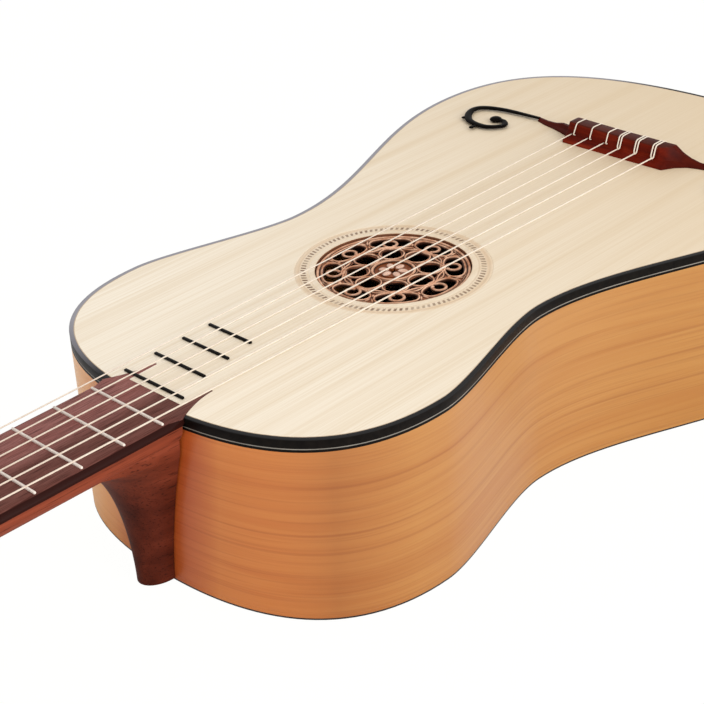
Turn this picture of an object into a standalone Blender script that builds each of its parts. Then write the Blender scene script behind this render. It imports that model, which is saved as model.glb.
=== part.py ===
# Baroque guitar lying on its back: body with linings, blocks and bars, carved rose, neck and head,
# fingerboard with inlaid frets, single strings tied at the bridge and six turning pegs.
#
# Metres, +Z up. The guitar is drawn in the soundboard's own frame: origin at the rose's centre on
# the top face, +X to the bass side, +Y to the tail. An empty tilts it so that the back lies flat.

import math

import bmesh
import bpy
from mathutils import Matrix, Vector

# Clearances
GAP = 0.0003
CUT_SPARE = 0.004

# Body outline, half widths and the places of its three bouts along the body
BODY_LENGTH = 0.445
ROSE_FROM_NECK_END = 0.1598
UPPER_HALF_WIDTH = 0.1006
UPPER_FROM_NECK_END = 0.0812
WAIST_HALF_WIDTH = 0.0809
WAIST_FROM_NECK_END = 0.1718
LOWER_HALF_WIDTH = 0.1290
LOWER_FROM_NECK_END = 0.3509
SHOULDER_REACH = 0.061
UPPER_RISE = 0.0595
UPPER_FALL = 0.015
WAIST_RISE = 0.0202
WAIST_FALL = 0.0566
LOWER_RISE = 0.0665
LOWER_FALL = 0.0651
TAIL_REACH = 0.0865
OUTLINE_STEPS = 8

# Body depth and walls
BODY_DEPTH_NECK = 0.0918
BODY_DEPTH_TAIL = 0.1012
TOP_THICKNESS = 0.0022
BACK_THICKNESS = 0.0025
RIB_THICKNESS = 0.0020
BINDING_WIDTH = 0.0021
BINDING_HEIGHT = 0.0062
LINING_WIDTH = 0.0060
LINING_HEIGHT = 0.0120

# Blocks and bars inside the body
NECK_BLOCK_WIDTH = 0.064
NECK_BLOCK_LENGTH = 0.042
TAIL_BLOCK_WIDTH = 0.050
TAIL_BLOCK_LENGTH = 0.018
BAR_WIDTH = 0.008
BAR_HEIGHT = 0.016
BAR_END_HEIGHT = 0.005
BAR_CROWN_SHARE = 0.72
TOP_BAR_ONE_FROM_ROSE = -0.088
TOP_BAR_TWO_FROM_ROSE = -0.058
TOP_BAR_THREE_FROM_ROSE = 0.058
BACK_BAR_ONE_FROM_ROSE = -0.050
BACK_BAR_TWO_FROM_ROSE = 0.110

# Rose: a carved disc let in from below, with a flange under the soundboard and a ring behind it
ROSE_RADIUS = 0.0383
ROSE_SINK = 0.0010
ROSE_SEAT_WIDTH = 0.006
ROSE_RING_THICKNESS = 0.0023
ROSE_PANEL_THICKNESS = 0.0024
ROSE_RELIEF = 0.0007
ROSE_LAYER_STEP = 0.0002
ROSE_BAND_WIDTH = 0.0009
ROSE_STEPS = 24
ROSE_FOLDS = 8
ROSE_TWIST = 3.0
ROSE_STAR_POINTS = 6
ROSE_STAR_RADIUS = 0.0031
ROSE_STAR_DEPTH = 0.5
ROSE_BEAD_PITCH_RADIUS = 0.0060
ROSE_BEAD_RADIUS = 0.0012
ROSE_CENTRE_RADIUS = 0.0103
ROSE_CENTRE_WIDTH = 0.0015
ROSE_CELL_PITCH_RADIUS = 0.0178
ROSE_CELL_HALF_SIZE = 0.0041
ROSE_CELL_SQUARENESS = 3.2
ROSE_CELL_RING_RADIUS = 0.0063
ROSE_EYE_PITCH_RADIUS = 0.0210
ROSE_EYE_RADIUS = 0.0015
ROSE_MIDDLE_RADIUS = 0.0243
ROSE_SCALLOP = 0.0005
ROSE_ARCH_PITCH_RADIUS = 0.0296
ROSE_ARCH_HALF_DEPTH = 0.0041
ROSE_ARCH_HALF_LENGTH = 0.0094
ROSE_ARCH_SQUARENESS = 2.4
ROSE_CURL_RADIUS = 0.0043
ROSE_CURL_WIDTH = 0.0015

# Strings: scale, spread at nut and bridge, and height above the soundboard
SCALE_LENGTH = 0.650
NECK_JOINT_FRET = 11.41
STRING_COUNT = 6
STRING_SPREAD_NUT = 0.036
STRING_SPREAD_BRIDGE = 0.0552
STRING_HEIGHT_NUT = 0.0038
STRING_HEIGHT_BRIDGE = 0.0046
STRING_DIAMETER_TREBLE = 0.0008
STRING_DIAMETER_BASS = 0.0011

# Fingerboard and frets
BOARD_THICKNESS = 0.0030
BOARD_HALF_WIDTH_NUT = 0.0240
BOARD_HALF_WIDTH_BODY = 0.0262
BOARD_EDGE_BEVEL = 0.0021
HORN_LENGTH = 0.0165
HORN_REACH = 0.0240
HORN_TIP_HALF_WIDTH = 0.0188
HORN_ROOT_HALF_WIDTH = 0.0172
HORN_TIP_WIDTH = 0.0010
HORN_CURVE = 1.8
HORN_STEPS = 6
NECK_FRETS = 11
FRET_WIDTH = 0.0015
FRET_HEIGHT = 0.0010
FRET_SLOT_DEPTH = 0.0012
FRET_END_INSET = 0.0024
BODY_FRET_ONE_START = -0.0243
BODY_FRET_ONE_END = 0.0144
BODY_FRET_TWO_START = -0.0254
BODY_FRET_TWO_END = 0.0079
BODY_FRET_THREE_START = -0.0262
BODY_FRET_THREE_END = 0.0044
BODY_FRET_FOUR_START = -0.0264
BODY_FRET_FOUR_END = 0.0017
BODY_FRET_WIDTH = 0.0013
BODY_FRET_HEIGHT = 0.0009
FRET_CHAMFER = 0.25

# Neck and heel
NECK_DEPTH_NUT = 0.0152
NECK_DEPTH_BODY = 0.0178
NECK_ROUNDNESS = 2.3
NECK_STATIONS = 6
SECTION_STEPS = 12
HEEL_HALF_WIDTH_TOP = 0.0261
HEEL_HALF_WIDTH_FOOT = 0.0088
HEEL_NARROWING = 1.5
HEEL_LENGTH_TOP = 0.046
HEEL_LENGTH_FOOT = 0.0130
HEEL_FOOT_CLEAR = 0.0014
HEEL_ROOT_SHARE = 0.9
HEEL_SWEEP_NECK = 0.020
HEEL_SWEEP_FOOT = 0.047
HEEL_STATIONS = 8
HEEL_ROUNDNESS = 2.0

# Nut
NUT_LENGTH = 0.005
NUT_CHAMFER = 0.0006
NUT_GROOVE_STEPS = 8

# Head and its face veneer
HEAD_LENGTH = 0.188
HEAD_ANGLE = 4.0
HEAD_THICKNESS_NUT = 0.0145
HEAD_THICKNESS_TIP = 0.0115
HEAD_HALF_WIDTH_NUT = 0.0245
HEAD_HALF_WIDTH_SHOULDER = 0.0330
HEAD_SHOULDER_FROM_NUT = 0.026
HEAD_HALF_WIDTH_TIP = 0.0385
HEAD_CORNER_DROP = 0.012
HEAD_SHOULDER_EASE = 0.6
HEAD_CREST_FULLNESS = 0.5
HEAD_STEPS = 5
VENEER_THICKNESS = 0.0012

# Pegs and the string wound on each
PEG_FIRST_FROM_NUT = 0.048
PEG_PITCH = 0.050
PEG_HALF_SPREAD_FIRST = 0.0225
PEG_HALF_SPREAD_LAST = 0.0235
PEG_RADIUS_FRONT = 0.0036
PEG_RADIUS_BACK = 0.0043
PEG_FRONT_REACH = 0.0165
PEG_COLLAR_RADIUS = 0.0062
PEG_COLLAR_HEIGHT = 0.0050
PEG_GRIP_WIDTH = 0.0200
PEG_GRIP_HEIGHT = 0.0210
PEG_GRIP_THICKNESS = 0.0072
PEG_PIP_RADIUS = 0.0022
PEG_END_SHARE = 0.75
PEG_END_CHAMFER = 0.0010
PEG_COLLAR_RIM_SHARE = 0.35
PEG_COLLAR_WAIST_SHARE = 0.6
PEG_WAIST_SHARE = 0.85
PEG_GRIP_OVERLAP = 0.0010
PEG_STEPS = 10
PEG_GRIP_RINGS = 6
PEG_ROW_COUNT = 3
WINDING_HEIGHT = 0.0052
WINDING_FROM_FACE = 0.0055
WINDING_TURNS = 2
WINDING_MIN_THICKNESS = 0.0010

# Bridge: a tie block with swept wings, and the scrolls beyond its wings
BRIDGE_BLOCK_HALF_LENGTH = 0.0325
BRIDGE_HALF_LENGTH = 0.0615
BRIDGE_DEPTH = 0.0155
BRIDGE_HEIGHT = 0.0110
BRIDGE_TOE_HEIGHT = 0.0012
BRIDGE_APRON_DEPTH = 0.0030
BRIDGE_APRON_HEIGHT = 0.0031
BRIDGE_FACE_DEPTH = 0.0045
BRIDGE_CREST_DEPTH = 0.0125
BRIDGE_REAR_HEIGHT = 0.0085
BRIDGE_TIP_WIDTH = 0.0030
BRIDGE_TIP_HEIGHT = 0.0020
BRIDGE_TIP_BACK = 0.0045
BRIDGE_WING_SWEEP = 2.4
BRIDGE_STATIONS = 7
BRIDGE_STATION_SPREAD = 1.4
TIE_HOLE_STEPS = 8
SCROLL_RADIUS = 0.0015
SCROLL_FLATNESS = 0.4
SCROLL_LENGTH = 0.0385
SCROLL_STEPS = 4

# Places that follow from the sizes above
NECK_END_Y = -ROSE_FROM_NECK_END
TAIL_Y = NECK_END_Y + BODY_LENGTH
BRIDGE_Y = NECK_END_Y + SCALE_LENGTH / 2 ** (NECK_JOINT_FRET / 12)
NUT_Y = BRIDGE_Y - SCALE_LENGTH
BACK_SLOPE = (BODY_DEPTH_TAIL - BODY_DEPTH_NECK) / BODY_LENGTH
NECK_TOP = -BOARD_THICKNESS - GAP
HEAD_Y = NUT_Y - NUT_LENGTH
RIB_TOP = -BINDING_HEIGHT - GAP
LINING_INSET = BINDING_WIDTH + GAP
BODY_FRET_SPANS = (
    (BODY_FRET_ONE_START, BODY_FRET_ONE_END),
    (BODY_FRET_TWO_START, BODY_FRET_TWO_END),
    (BODY_FRET_THREE_START, BODY_FRET_THREE_END),
    (BODY_FRET_FOUR_START, BODY_FRET_FOUR_END),
)
TOP_BARS_FROM_ROSE = (
    TOP_BAR_ONE_FROM_ROSE,
    TOP_BAR_TWO_FROM_ROSE,
    TOP_BAR_THREE_FROM_ROSE,
)
BACK_BARS_FROM_ROSE = (BACK_BAR_ONE_FROM_ROSE, BACK_BAR_TWO_FROM_ROSE)

PARTS = "baroque_guitar"
CUTTERS = "cutters"


def clear_scene():
    for obj in list(bpy.data.objects):
        bpy.data.objects.remove(obj, do_unlink=True)
    for name in (PARTS, CUTTERS):
        collection = bpy.data.collections.new(name)
        bpy.context.scene.collection.children.link(collection)


def empty(name, parent=None, location=(0, 0, 0), tilt=0.0):
    """An empty that carries pieces, turned about X by tilt."""
    obj = bpy.data.objects.new(name, None)
    bpy.data.collections[PARTS].objects.link(obj)
    obj.parent = parent
    obj.location = location
    obj.rotation_euler = (tilt, 0, 0)
    return obj


def material(name, colour, roughness):
    """A Principled material, made once for each name."""
    made = bpy.data.materials.get(name)
    if made is None:
        made = bpy.data.materials.new(name)
        made.use_nodes = True
        shader = made.node_tree.nodes["Principled BSDF"]
        shader.inputs["Base Color"].default_value = (*colour, 1.0)
        shader.inputs["Roughness"].default_value = roughness
    return made


def spruce():
    return material("spruce", (0.86, 0.76, 0.58), 0.45)


def rib_wood():
    return material("rib_wood", (0.66, 0.35, 0.14), 0.35)


def neck_wood():
    return material("neck_wood", (0.24, 0.07, 0.035), 0.38)


def board_wood():
    return material("board_wood", (0.22, 0.09, 0.075), 0.42)


def bridge_wood():
    return material("bridge_wood", (0.13, 0.02, 0.012), 0.35)


def ebony():
    return material("ebony", (0.012, 0.010, 0.010), 0.35)


def bone():
    return material("bone", (0.85, 0.75, 0.62), 0.35)


def gut():
    return material("gut", (0.86, 0.78, 0.62), 0.40)


def rose_wood():
    return material("rose_wood", (0.47, 0.22, 0.10), 0.50)


def inner_wood():
    return material("inner_wood", (0.78, 0.60, 0.38), 0.60)


def place(obj, parent, finish, collection=PARTS):
    """Links a new object under its parent and gives it its material."""
    bpy.data.collections[collection].objects.link(obj)
    obj.parent = parent
    if finish:
        obj.data.materials.append(finish)
    if collection == CUTTERS:
        obj.hide_render = True
        obj.display_type = "WIRE"
    return obj


def mesh_object(name, bm, parent, finish, collection=PARTS):
    mesh = bpy.data.meshes.new(name)
    bm.to_mesh(mesh)
    bm.free()
    return place(bpy.data.objects.new(name, mesh), parent, finish, collection)


def from_curve(curve, name, parent, finish, height=0.0, collection=PARTS):
    """Turns a curve into a mesh object with its caps welded."""
    guide = bpy.data.objects.new(name + "_curve", curve)
    guide.location.z = height
    bpy.context.scene.collection.objects.link(guide)
    graph = bpy.context.evaluated_depsgraph_get()
    mesh = bpy.data.meshes.new_from_object(guide.evaluated_get(graph))
    mesh.transform(guide.matrix_world)
    bpy.data.objects.remove(guide, do_unlink=True)
    bpy.data.curves.remove(curve)
    mesh.name = name
    mesh.materials.clear()
    bm = bmesh.new()
    bm.from_mesh(mesh)
    bmesh.ops.remove_doubles(bm, verts=bm.verts, dist=0.000002)
    bmesh.ops.recalc_face_normals(bm, faces=bm.faces)
    bm.to_mesh(mesh)
    bm.free()
    return place(bpy.data.objects.new(name, mesh), parent, finish, collection)


def plate(name, loops, bottom, top, parent, finish, collection=PARTS):
    """A flat piece with the given closed outlines; inner loops are holes."""
    curve = bpy.data.curves.new(name, "CURVE")
    curve.dimensions = "2D"
    curve.fill_mode = "BOTH"
    curve.extrude = (top - bottom) / 2
    for loop in loops:
        spline = curve.splines.new("POLY")
        spline.points.add(len(loop) - 1)
        spline.use_cyclic_u = True
        for point, (x, y) in zip(spline.points, loop):
            point.co = (x, y, 0, 1)
    return from_curve(curve, name, parent, finish, (top + bottom) / 2, collection)


def block(name, low, high, parent, finish, collection=PARTS):
    """A box between two corners."""
    bm = bmesh.new()
    bmesh.ops.create_cube(bm, size=1.0)
    size = Vector(high) - Vector(low)
    centre = (Vector(high) + Vector(low)) / 2
    bmesh.ops.scale(bm, vec=size, verts=bm.verts)
    bmesh.ops.translate(bm, vec=centre, verts=bm.verts)
    return mesh_object(name, bm, parent, finish, collection)


def rod(name, radius, length, place_matrix, parent, steps=12, collection=CUTTERS):
    """A round bar along its own Z, centred on place_matrix."""
    bm = bmesh.new()
    bmesh.ops.create_cone(
        bm,
        cap_ends=True,
        segments=steps,
        radius1=radius,
        radius2=radius,
        depth=length,
        matrix=place_matrix,
    )
    return mesh_object(name, bm, parent, None, collection)


def cut(obj, cutter, operation="DIFFERENCE"):
    modifier = obj.modifiers.new(cutter.name, "BOOLEAN")
    modifier.operation = operation
    modifier.object = cutter
    return obj


def soften(obj, width, angle=50.0):
    """A single small chamfer on the sharp edges."""
    modifier = obj.modifiers.new("soft_edges", "BEVEL")
    modifier.width = width
    modifier.segments = 1
    modifier.limit_method = "ANGLE"
    modifier.angle_limit = math.radians(angle)
    modifier.use_clamp_overlap = True
    return obj


def smooth(obj, angle=35.0):
    obj.data.shade_smooth()
    obj.data.set_sharp_from_angle(angle=math.radians(angle))
    return obj


def loft(name, sections, parent, finish, collection=PARTS):
    """Closed sections, all with as many points, skinned in order and capped."""
    bm = bmesh.new()
    rings = [[bm.verts.new(point) for point in section] for section in sections]
    for ring, following in zip(rings, rings[1:]):
        for i in range(len(ring)):
            j = (i + 1) % len(ring)
            bm.faces.new((ring[i], ring[j], following[j], following[i]))
    bm.faces.new(rings[0])
    bm.faces.new(rings[-1])
    bmesh.ops.recalc_face_normals(bm, faces=bm.faces)
    return mesh_object(name, bm, parent, finish, collection)


def bezier(start, first, second, end, steps):
    """Points of a cubic curve after its start."""
    points = []
    for i in range(1, steps + 1):
        t = i / steps
        weights = ((1 - t) ** 3, 3 * (1 - t) ** 2 * t, 3 * (1 - t) * t * t, t**3)
        corners = (start, first, second, end)
        points.append(
            tuple(sum(w * c[k] for w, c in zip(weights, corners)) for k in (0, 1))
        )
    return points


def half_outline():
    """The bass half of the body's outline, from the neck end to the tail."""
    upper = (UPPER_HALF_WIDTH, NECK_END_Y + UPPER_FROM_NECK_END)
    waist = (WAIST_HALF_WIDTH, NECK_END_Y + WAIST_FROM_NECK_END)
    lower = (LOWER_HALF_WIDTH, NECK_END_Y + LOWER_FROM_NECK_END)
    start = (0.0, NECK_END_Y)
    tail = (0.0, TAIL_Y)
    points = [start]
    points += bezier(
        start,
        (SHOULDER_REACH, NECK_END_Y),
        (upper[0], upper[1] - UPPER_RISE),
        upper,
        OUTLINE_STEPS,
    )
    points += bezier(
        upper,
        (upper[0], upper[1] + UPPER_FALL),
        (waist[0], waist[1] - WAIST_RISE),
        waist,
        OUTLINE_STEPS,
    )
    points += bezier(
        waist,
        (waist[0], waist[1] + WAIST_FALL),
        (lower[0], lower[1] - LOWER_RISE),
        lower,
        OUTLINE_STEPS,
    )
    points += bezier(
        lower,
        (lower[0], lower[1] + LOWER_FALL),
        (TAIL_REACH, TAIL_Y),
        tail,
        OUTLINE_STEPS,
    )
    return points


def inset_half(distance):
    """The bass half of the outline moved inwards by distance."""
    points = half_outline()
    before = [(-points[1][0], points[1][1])] + points[:-1]
    after = points[1:] + [(-points[-2][0], points[-2][1])]
    moved = []
    for (x, y), a, b in zip(points, before, after):
        along = Vector((b[0] - a[0], b[1] - a[1])).normalized()
        moved.append((x - along.y * distance, y + along.x * distance))
    return moved


def inset_outline(distance):
    """The whole closed outline moved inwards by distance."""
    half = inset_half(distance)
    return half + [(-x, y) for x, y in reversed(half[1:-1])]


def side_path(distance, neck_x, tail_x):
    """The inset bass half between |x| = neck_x at the neck and tail_x at the tail."""
    half = inset_half(distance)
    middle = len(half) // 2
    path = []
    for i, (x, y) in enumerate(half):
        limit = neck_x if i < middle else tail_x
        if x > limit:
            path.append((x, y))
    first = half.index(path[0])
    last = half.index(path[-1])
    path.insert(0, at_x(half[first - 1], half[first], neck_x))
    path.append(at_x(half[last], half[last + 1], tail_x))
    return path


def at_x(a, b, x):
    """The point between a and b that has this x."""
    share = (x - a[0]) / (b[0] - a[0])
    return (x, a[1] + share * (b[1] - a[1]))


def band(outer, inner, neck_x, tail_x):
    """A closed strip that follows the bass side between two insets."""
    return side_path(outer, neck_x, tail_x) + side_path(inner, neck_x, tail_x)[::-1]


def mirrored(loop):
    return [(-x, y) for x, y in loop]


def back_z(y):
    """Height of the back's outer face under the point y."""
    return -(BODY_DEPTH_NECK + BACK_SLOPE * (y - NECK_END_Y))


def follow_back(obj, below=None, above=None):
    """Lays the lower, and if named the upper, face of a flat piece parallel to the back."""
    heights = [vertex.co.z for vertex in obj.data.vertices]
    middle = (min(heights) + max(heights)) / 2
    for vertex in obj.data.vertices:
        offset = below if vertex.co.z < middle else above
        if offset is not None:
            vertex.co.z = back_z(vertex.co.y) + offset
    return obj


def board_half_width(y):
    """Half width of the fingerboard and neck at y."""
    share = (y - NUT_Y) / (NECK_END_Y - NUT_Y)
    return BOARD_HALF_WIDTH_NUT + share * (BOARD_HALF_WIDTH_BODY - BOARD_HALF_WIDTH_NUT)


def board_outline(spare, start_y):
    """Plan of the fingerboard with its two horns at the body end, grown by spare."""
    tip_y = NECK_END_Y + HORN_REACH
    edge = [(board_half_width(start_y) + spare, start_y)]
    for i in range(HORN_STEPS + 1):
        share = 1 - i / HORN_STEPS
        base = board_half_width(NECK_END_Y)
        x = HORN_TIP_HALF_WIDTH + (base - HORN_TIP_HALF_WIDTH) * share**HORN_CURVE
        y = tip_y - (HORN_REACH - GAP) * share
        edge.append((x + spare, y + spare))
    edge.append((HORN_TIP_HALF_WIDTH - HORN_TIP_WIDTH - spare, tip_y + spare))
    edge.append((HORN_ROOT_HALF_WIDTH - spare, tip_y - HORN_LENGTH + spare))
    return edge + mirrored(edge)[::-1]


def fret_y(number):
    """Place of a fret by equal temperament."""
    return BRIDGE_Y - SCALE_LENGTH / 2 ** (number / 12)


def string_x(index, y):
    """Place of a string across the neck, index 0 on the treble side."""
    share = (y - NUT_Y) / (BRIDGE_Y - NUT_Y)
    spread = STRING_SPREAD_NUT + share * (STRING_SPREAD_BRIDGE - STRING_SPREAD_NUT)
    return spread * (index / (STRING_COUNT - 1) - 0.5)


def string_diameter(index):
    """Diameters grow by a fixed ratio from the treble to the bass."""
    ratio = STRING_DIAMETER_BASS / STRING_DIAMETER_TREBLE
    return STRING_DIAMETER_TREBLE * ratio ** (index / (STRING_COUNT - 1))


def circle(radius, steps, centre=(0.0, 0.0), turn=0.0):
    points = []
    for i in range(steps):
        angle = 2 * math.pi * i / steps + turn
        points.append(
            (
                centre[0] + radius * math.cos(angle),
                centre[1] + radius * math.sin(angle),
            )
        )
    return points


def turned_to(loop, angle, reach=0.0):
    """A loop moved out along +X by reach and then turned about the origin."""
    c = math.cos(angle)
    s = math.sin(angle)
    return [((x + reach) * c - y * s, (x + reach) * s + y * c) for x, y in loop]


def make_soundboard(frame):
    outline = inset_outline(BINDING_WIDTH + GAP)
    hole = circle(ROSE_RADIUS, 48)
    board = plate("soundboard", [outline, hole], -TOP_THICKNESS, 0, frame, spruce())
    shape = board_outline(GAP, NUT_Y)
    cutter = plate("board_seat", [shape], -CUT_SPARE, CUT_SPARE, frame, None, CUTTERS)
    cut(board, cutter)


def make_binding(frame):
    neck_x = board_half_width(NECK_END_Y) + GAP
    path = side_path(0, neck_x, 0)
    inner = side_path(BINDING_WIDTH, neck_x, 0)
    outer_loop = path[:-1] + mirrored(path)[::-1]
    inner_loop = inner[:-1] + mirrored(inner)[::-1]
    loop = outer_loop + inner_loop[::-1]
    plate("top_binding", [loop], -BINDING_HEIGHT, 0, frame, ebony())


def make_ribs(frame):
    for name, flip in (("rib_bass", False), ("rib_treble", True)):
        loop = band(0, RIB_THICKNESS, GAP / 2, GAP / 2)
        if flip:
            loop = mirrored(loop)
        rib = plate(name, [loop], -BODY_DEPTH_NECK, RIB_TOP, frame, rib_wood())
        follow_back(rib, below=BACK_THICKNESS + GAP)


def make_back(frame):
    back = plate(
        "back_plate",
        [inset_outline(0)],
        -BODY_DEPTH_NECK,
        -BODY_DEPTH_NECK + BACK_THICKNESS,
        frame,
        rib_wood(),
    )
    follow_back(back, below=0.0, above=BACK_THICKNESS)


def make_linings(frame):
    neck_x = NECK_BLOCK_WIDTH / 2 + GAP
    tail_x = TAIL_BLOCK_WIDTH / 2 + GAP
    inner = LINING_INSET + LINING_WIDTH
    top_loop = band(LINING_INSET, inner, neck_x, tail_x)
    back_loop = band(RIB_THICKNESS + GAP, inner, neck_x, tail_x)
    top = -TOP_THICKNESS - GAP
    low = BACK_THICKNESS + GAP
    for side, flip in (("bass", False), ("treble", True)):
        upper = mirrored(top_loop) if flip else top_loop
        lower = mirrored(back_loop) if flip else back_loop
        name = "top_lining_" + side
        plate(name, [upper], top - LINING_HEIGHT, top, frame, inner_wood())
        name = "back_lining_" + side
        lining = plate(name, [lower], 0, LINING_HEIGHT, frame, inner_wood())
        follow_back(lining, below=low, above=low + LINING_HEIGHT)


def make_blocks(frame):
    top = -TOP_THICKNESS - GAP
    inset = LINING_INSET
    half = NECK_BLOCK_WIDTH / 2
    inner_y = NECK_END_Y + inset + NECK_BLOCK_LENGTH
    loop = [(half, inner_y)]
    loop += reversed([p for p in inset_half(inset) if p[0] < half and p[1] < 0])
    loop.insert(1, end_of_half(inset, half, 0))
    loop = loop[:-1] + mirrored(loop)[::-1]
    neck_block = plate(
        "neck_block", [loop], -BODY_DEPTH_NECK, top, frame, inner_wood()
    )
    follow_back(neck_block, below=BACK_THICKNESS + GAP)
    shape = board_outline(GAP, NUT_Y)
    low = -BOARD_THICKNESS - GAP
    seat = plate("block_seat", [shape], low, CUT_SPARE, frame, None, CUTTERS)
    cut(neck_block, seat)

    half = TAIL_BLOCK_WIDTH / 2
    inner_y = TAIL_Y - inset - TAIL_BLOCK_LENGTH
    loop = [(half, inner_y)]
    loop.append(end_of_half(inset, half, 1))
    loop += [p for p in inset_half(inset) if p[0] < half and p[1] > 0]
    loop = loop[:-1] + mirrored(loop)[::-1]
    tail_block = plate(
        "tail_block", [loop], -BODY_DEPTH_NECK, top, frame, inner_wood()
    )
    follow_back(tail_block, below=BACK_THICKNESS + GAP)


def end_of_half(distance, x, tail):
    """The point of the inset outline at this x, near the neck (0) or the tail (1)."""
    half = inset_half(distance)
    if tail:
        half = half[::-1]
    for a, b in zip(half, half[1:]):
        if a[0] <= x < b[0]:
            return at_x(a, b, x)
    return half[0]


def half_width_at(distance, y):
    """Half width of the inset outline at y."""
    half = inset_half(distance)
    for a, b in zip(half, half[1:]):
        if a[1] <= y < b[1]:
            share = (y - a[1]) / (b[1] - a[1])
            return a[0] + share * (b[0] - a[0])
    return 0.0


def bar_reach(y, inset):
    """Half length of a bar so that both its edges stay clear of the linings."""
    edges = (y - BAR_WIDTH / 2, y, y + BAR_WIDTH / 2)
    return min(half_width_at(inset, edge) for edge in edges)


def make_bar(name, y, half, seat, side, frame):
    """A cross bar with lowered ends; side is -1 when it hangs below its plate."""
    tall = side * BAR_HEIGHT
    low = side * BAR_END_HEIGHT
    outline = (
        (-half, 0),
        (half, 0),
        (half, low),
        (half * BAR_CROWN_SHARE, tall),
        (-half * BAR_CROWN_SHARE, tall),
        (-half, low),
    )
    sections = []
    for edge in (y - BAR_WIDTH / 2, y + BAR_WIDTH / 2):
        sections.append([(x, edge, seat(edge) + z) for x, z in outline])
    return loft(name, sections, frame, spruce())


def make_bars(frame):
    clear = LINING_INSET + LINING_WIDTH + GAP
    for number, y in enumerate(TOP_BARS_FROM_ROSE, 1):
        name = "top_bar_%d" % number
        half = bar_reach(y, clear)
        make_bar(name, y, half, lambda _: -TOP_THICKNESS - GAP, -1, frame)
    for number, y in enumerate(BACK_BARS_FROM_ROSE, 1):
        name = "back_bar_%d" % number
        half = bar_reach(y, clear)
        make_bar(
            name, y, half, lambda e: back_z(e) + BACK_THICKNESS + GAP, 1, frame
        )


def rose_star():
    points = []
    for i in range(2 * ROSE_STAR_POINTS):
        radius = ROSE_STAR_RADIUS * (ROSE_STAR_DEPTH if i % 2 else 1)
        angle = math.pi * i / ROSE_STAR_POINTS
        points.append((radius * math.cos(angle), radius * math.sin(angle)))
    return points


def lens(half_x, half_y, squareness, steps):
    """A rounded rectangle about the origin, with a point near each corner."""
    points = []
    for i in range(steps):
        angle = 2 * math.pi * (i + 0.5) / steps
        c = math.cos(angle)
        s = math.sin(angle)
        x = math.copysign(abs(c) ** (2 / squareness), c)
        y = math.copysign(abs(s) ** (2 / squareness), s)
        points.append((half_x * x, half_y * y))
    return points


def ring_loops(radius, width, steps, scallop=0.0):
    """Two loops that bound a round band, scalloped outwards at the folds."""
    loops = []
    for edge in (width / 2, -width / 2):
        loop = []
        for i in range(steps):
            angle = 2 * math.pi * i / steps
            wave = scallop * (1 + math.cos(ROSE_FOLDS * angle)) / 2
            reach = radius + wave + edge
            loop.append((reach * math.cos(angle), reach * math.sin(angle)))
        loops.append(loop)
    return loops


def at_folds(loop, pitch_radius, offset=0.0):
    """A loop with a slight twist of its own, repeated once in each fold of the rose."""
    loop = turned_to(loop, math.radians(ROSE_TWIST))
    loops = []
    for fold in range(ROSE_FOLDS):
        angle = 2 * math.pi * (fold + offset) / ROSE_FOLDS
        loops.append(turned_to(loop, angle, pitch_radius))
    return loops


def rose_arch(grow, steps):
    """The wide opening near the rim, grown by the width of its raised edge."""
    depth = ROSE_ARCH_HALF_DEPTH + grow
    length = ROSE_ARCH_HALF_LENGTH + grow
    return at_folds(
        lens(depth, length, ROSE_ARCH_SQUARENESS, steps), ROSE_ARCH_PITCH_RADIUS
    )


def rose_openings():
    """Everything that is cut right through the panel."""
    half = ROSE_CELL_HALF_SIZE
    cell = lens(half, half, ROSE_CELL_SQUARENESS, 12)
    openings = [rose_star()]
    openings += at_folds(cell, ROSE_CELL_PITCH_RADIUS)
    openings += at_folds(circle(ROSE_EYE_RADIUS, 6), ROSE_EYE_PITCH_RADIUS, 0.5)
    openings += rose_arch(0.0, 12)
    return openings


def rose_bands():
    """Raised work: the rim, the centre with its beads, the cells and the middle."""
    inner = ROSE_CELL_RING_RADIUS - ROSE_BAND_WIDTH
    rim = ROSE_RADIUS - GAP - ROSE_BAND_WIDTH
    bands = ring_loops(rim, ROSE_BAND_WIDTH, ROSE_STEPS)
    bands += ring_loops(ROSE_CENTRE_RADIUS, ROSE_CENTRE_WIDTH, 16)
    bands += ring_loops(ROSE_MIDDLE_RADIUS, ROSE_BAND_WIDTH, 24, ROSE_SCALLOP)
    bands += at_folds(circle(ROSE_BEAD_RADIUS, 5), ROSE_BEAD_PITCH_RADIUS)
    bands += at_folds(circle(ROSE_CELL_RING_RADIUS, 10), ROSE_CELL_PITCH_RADIUS)
    bands += at_folds(circle(inner, 10), ROSE_CELL_PITCH_RADIUS)
    return bands


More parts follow.
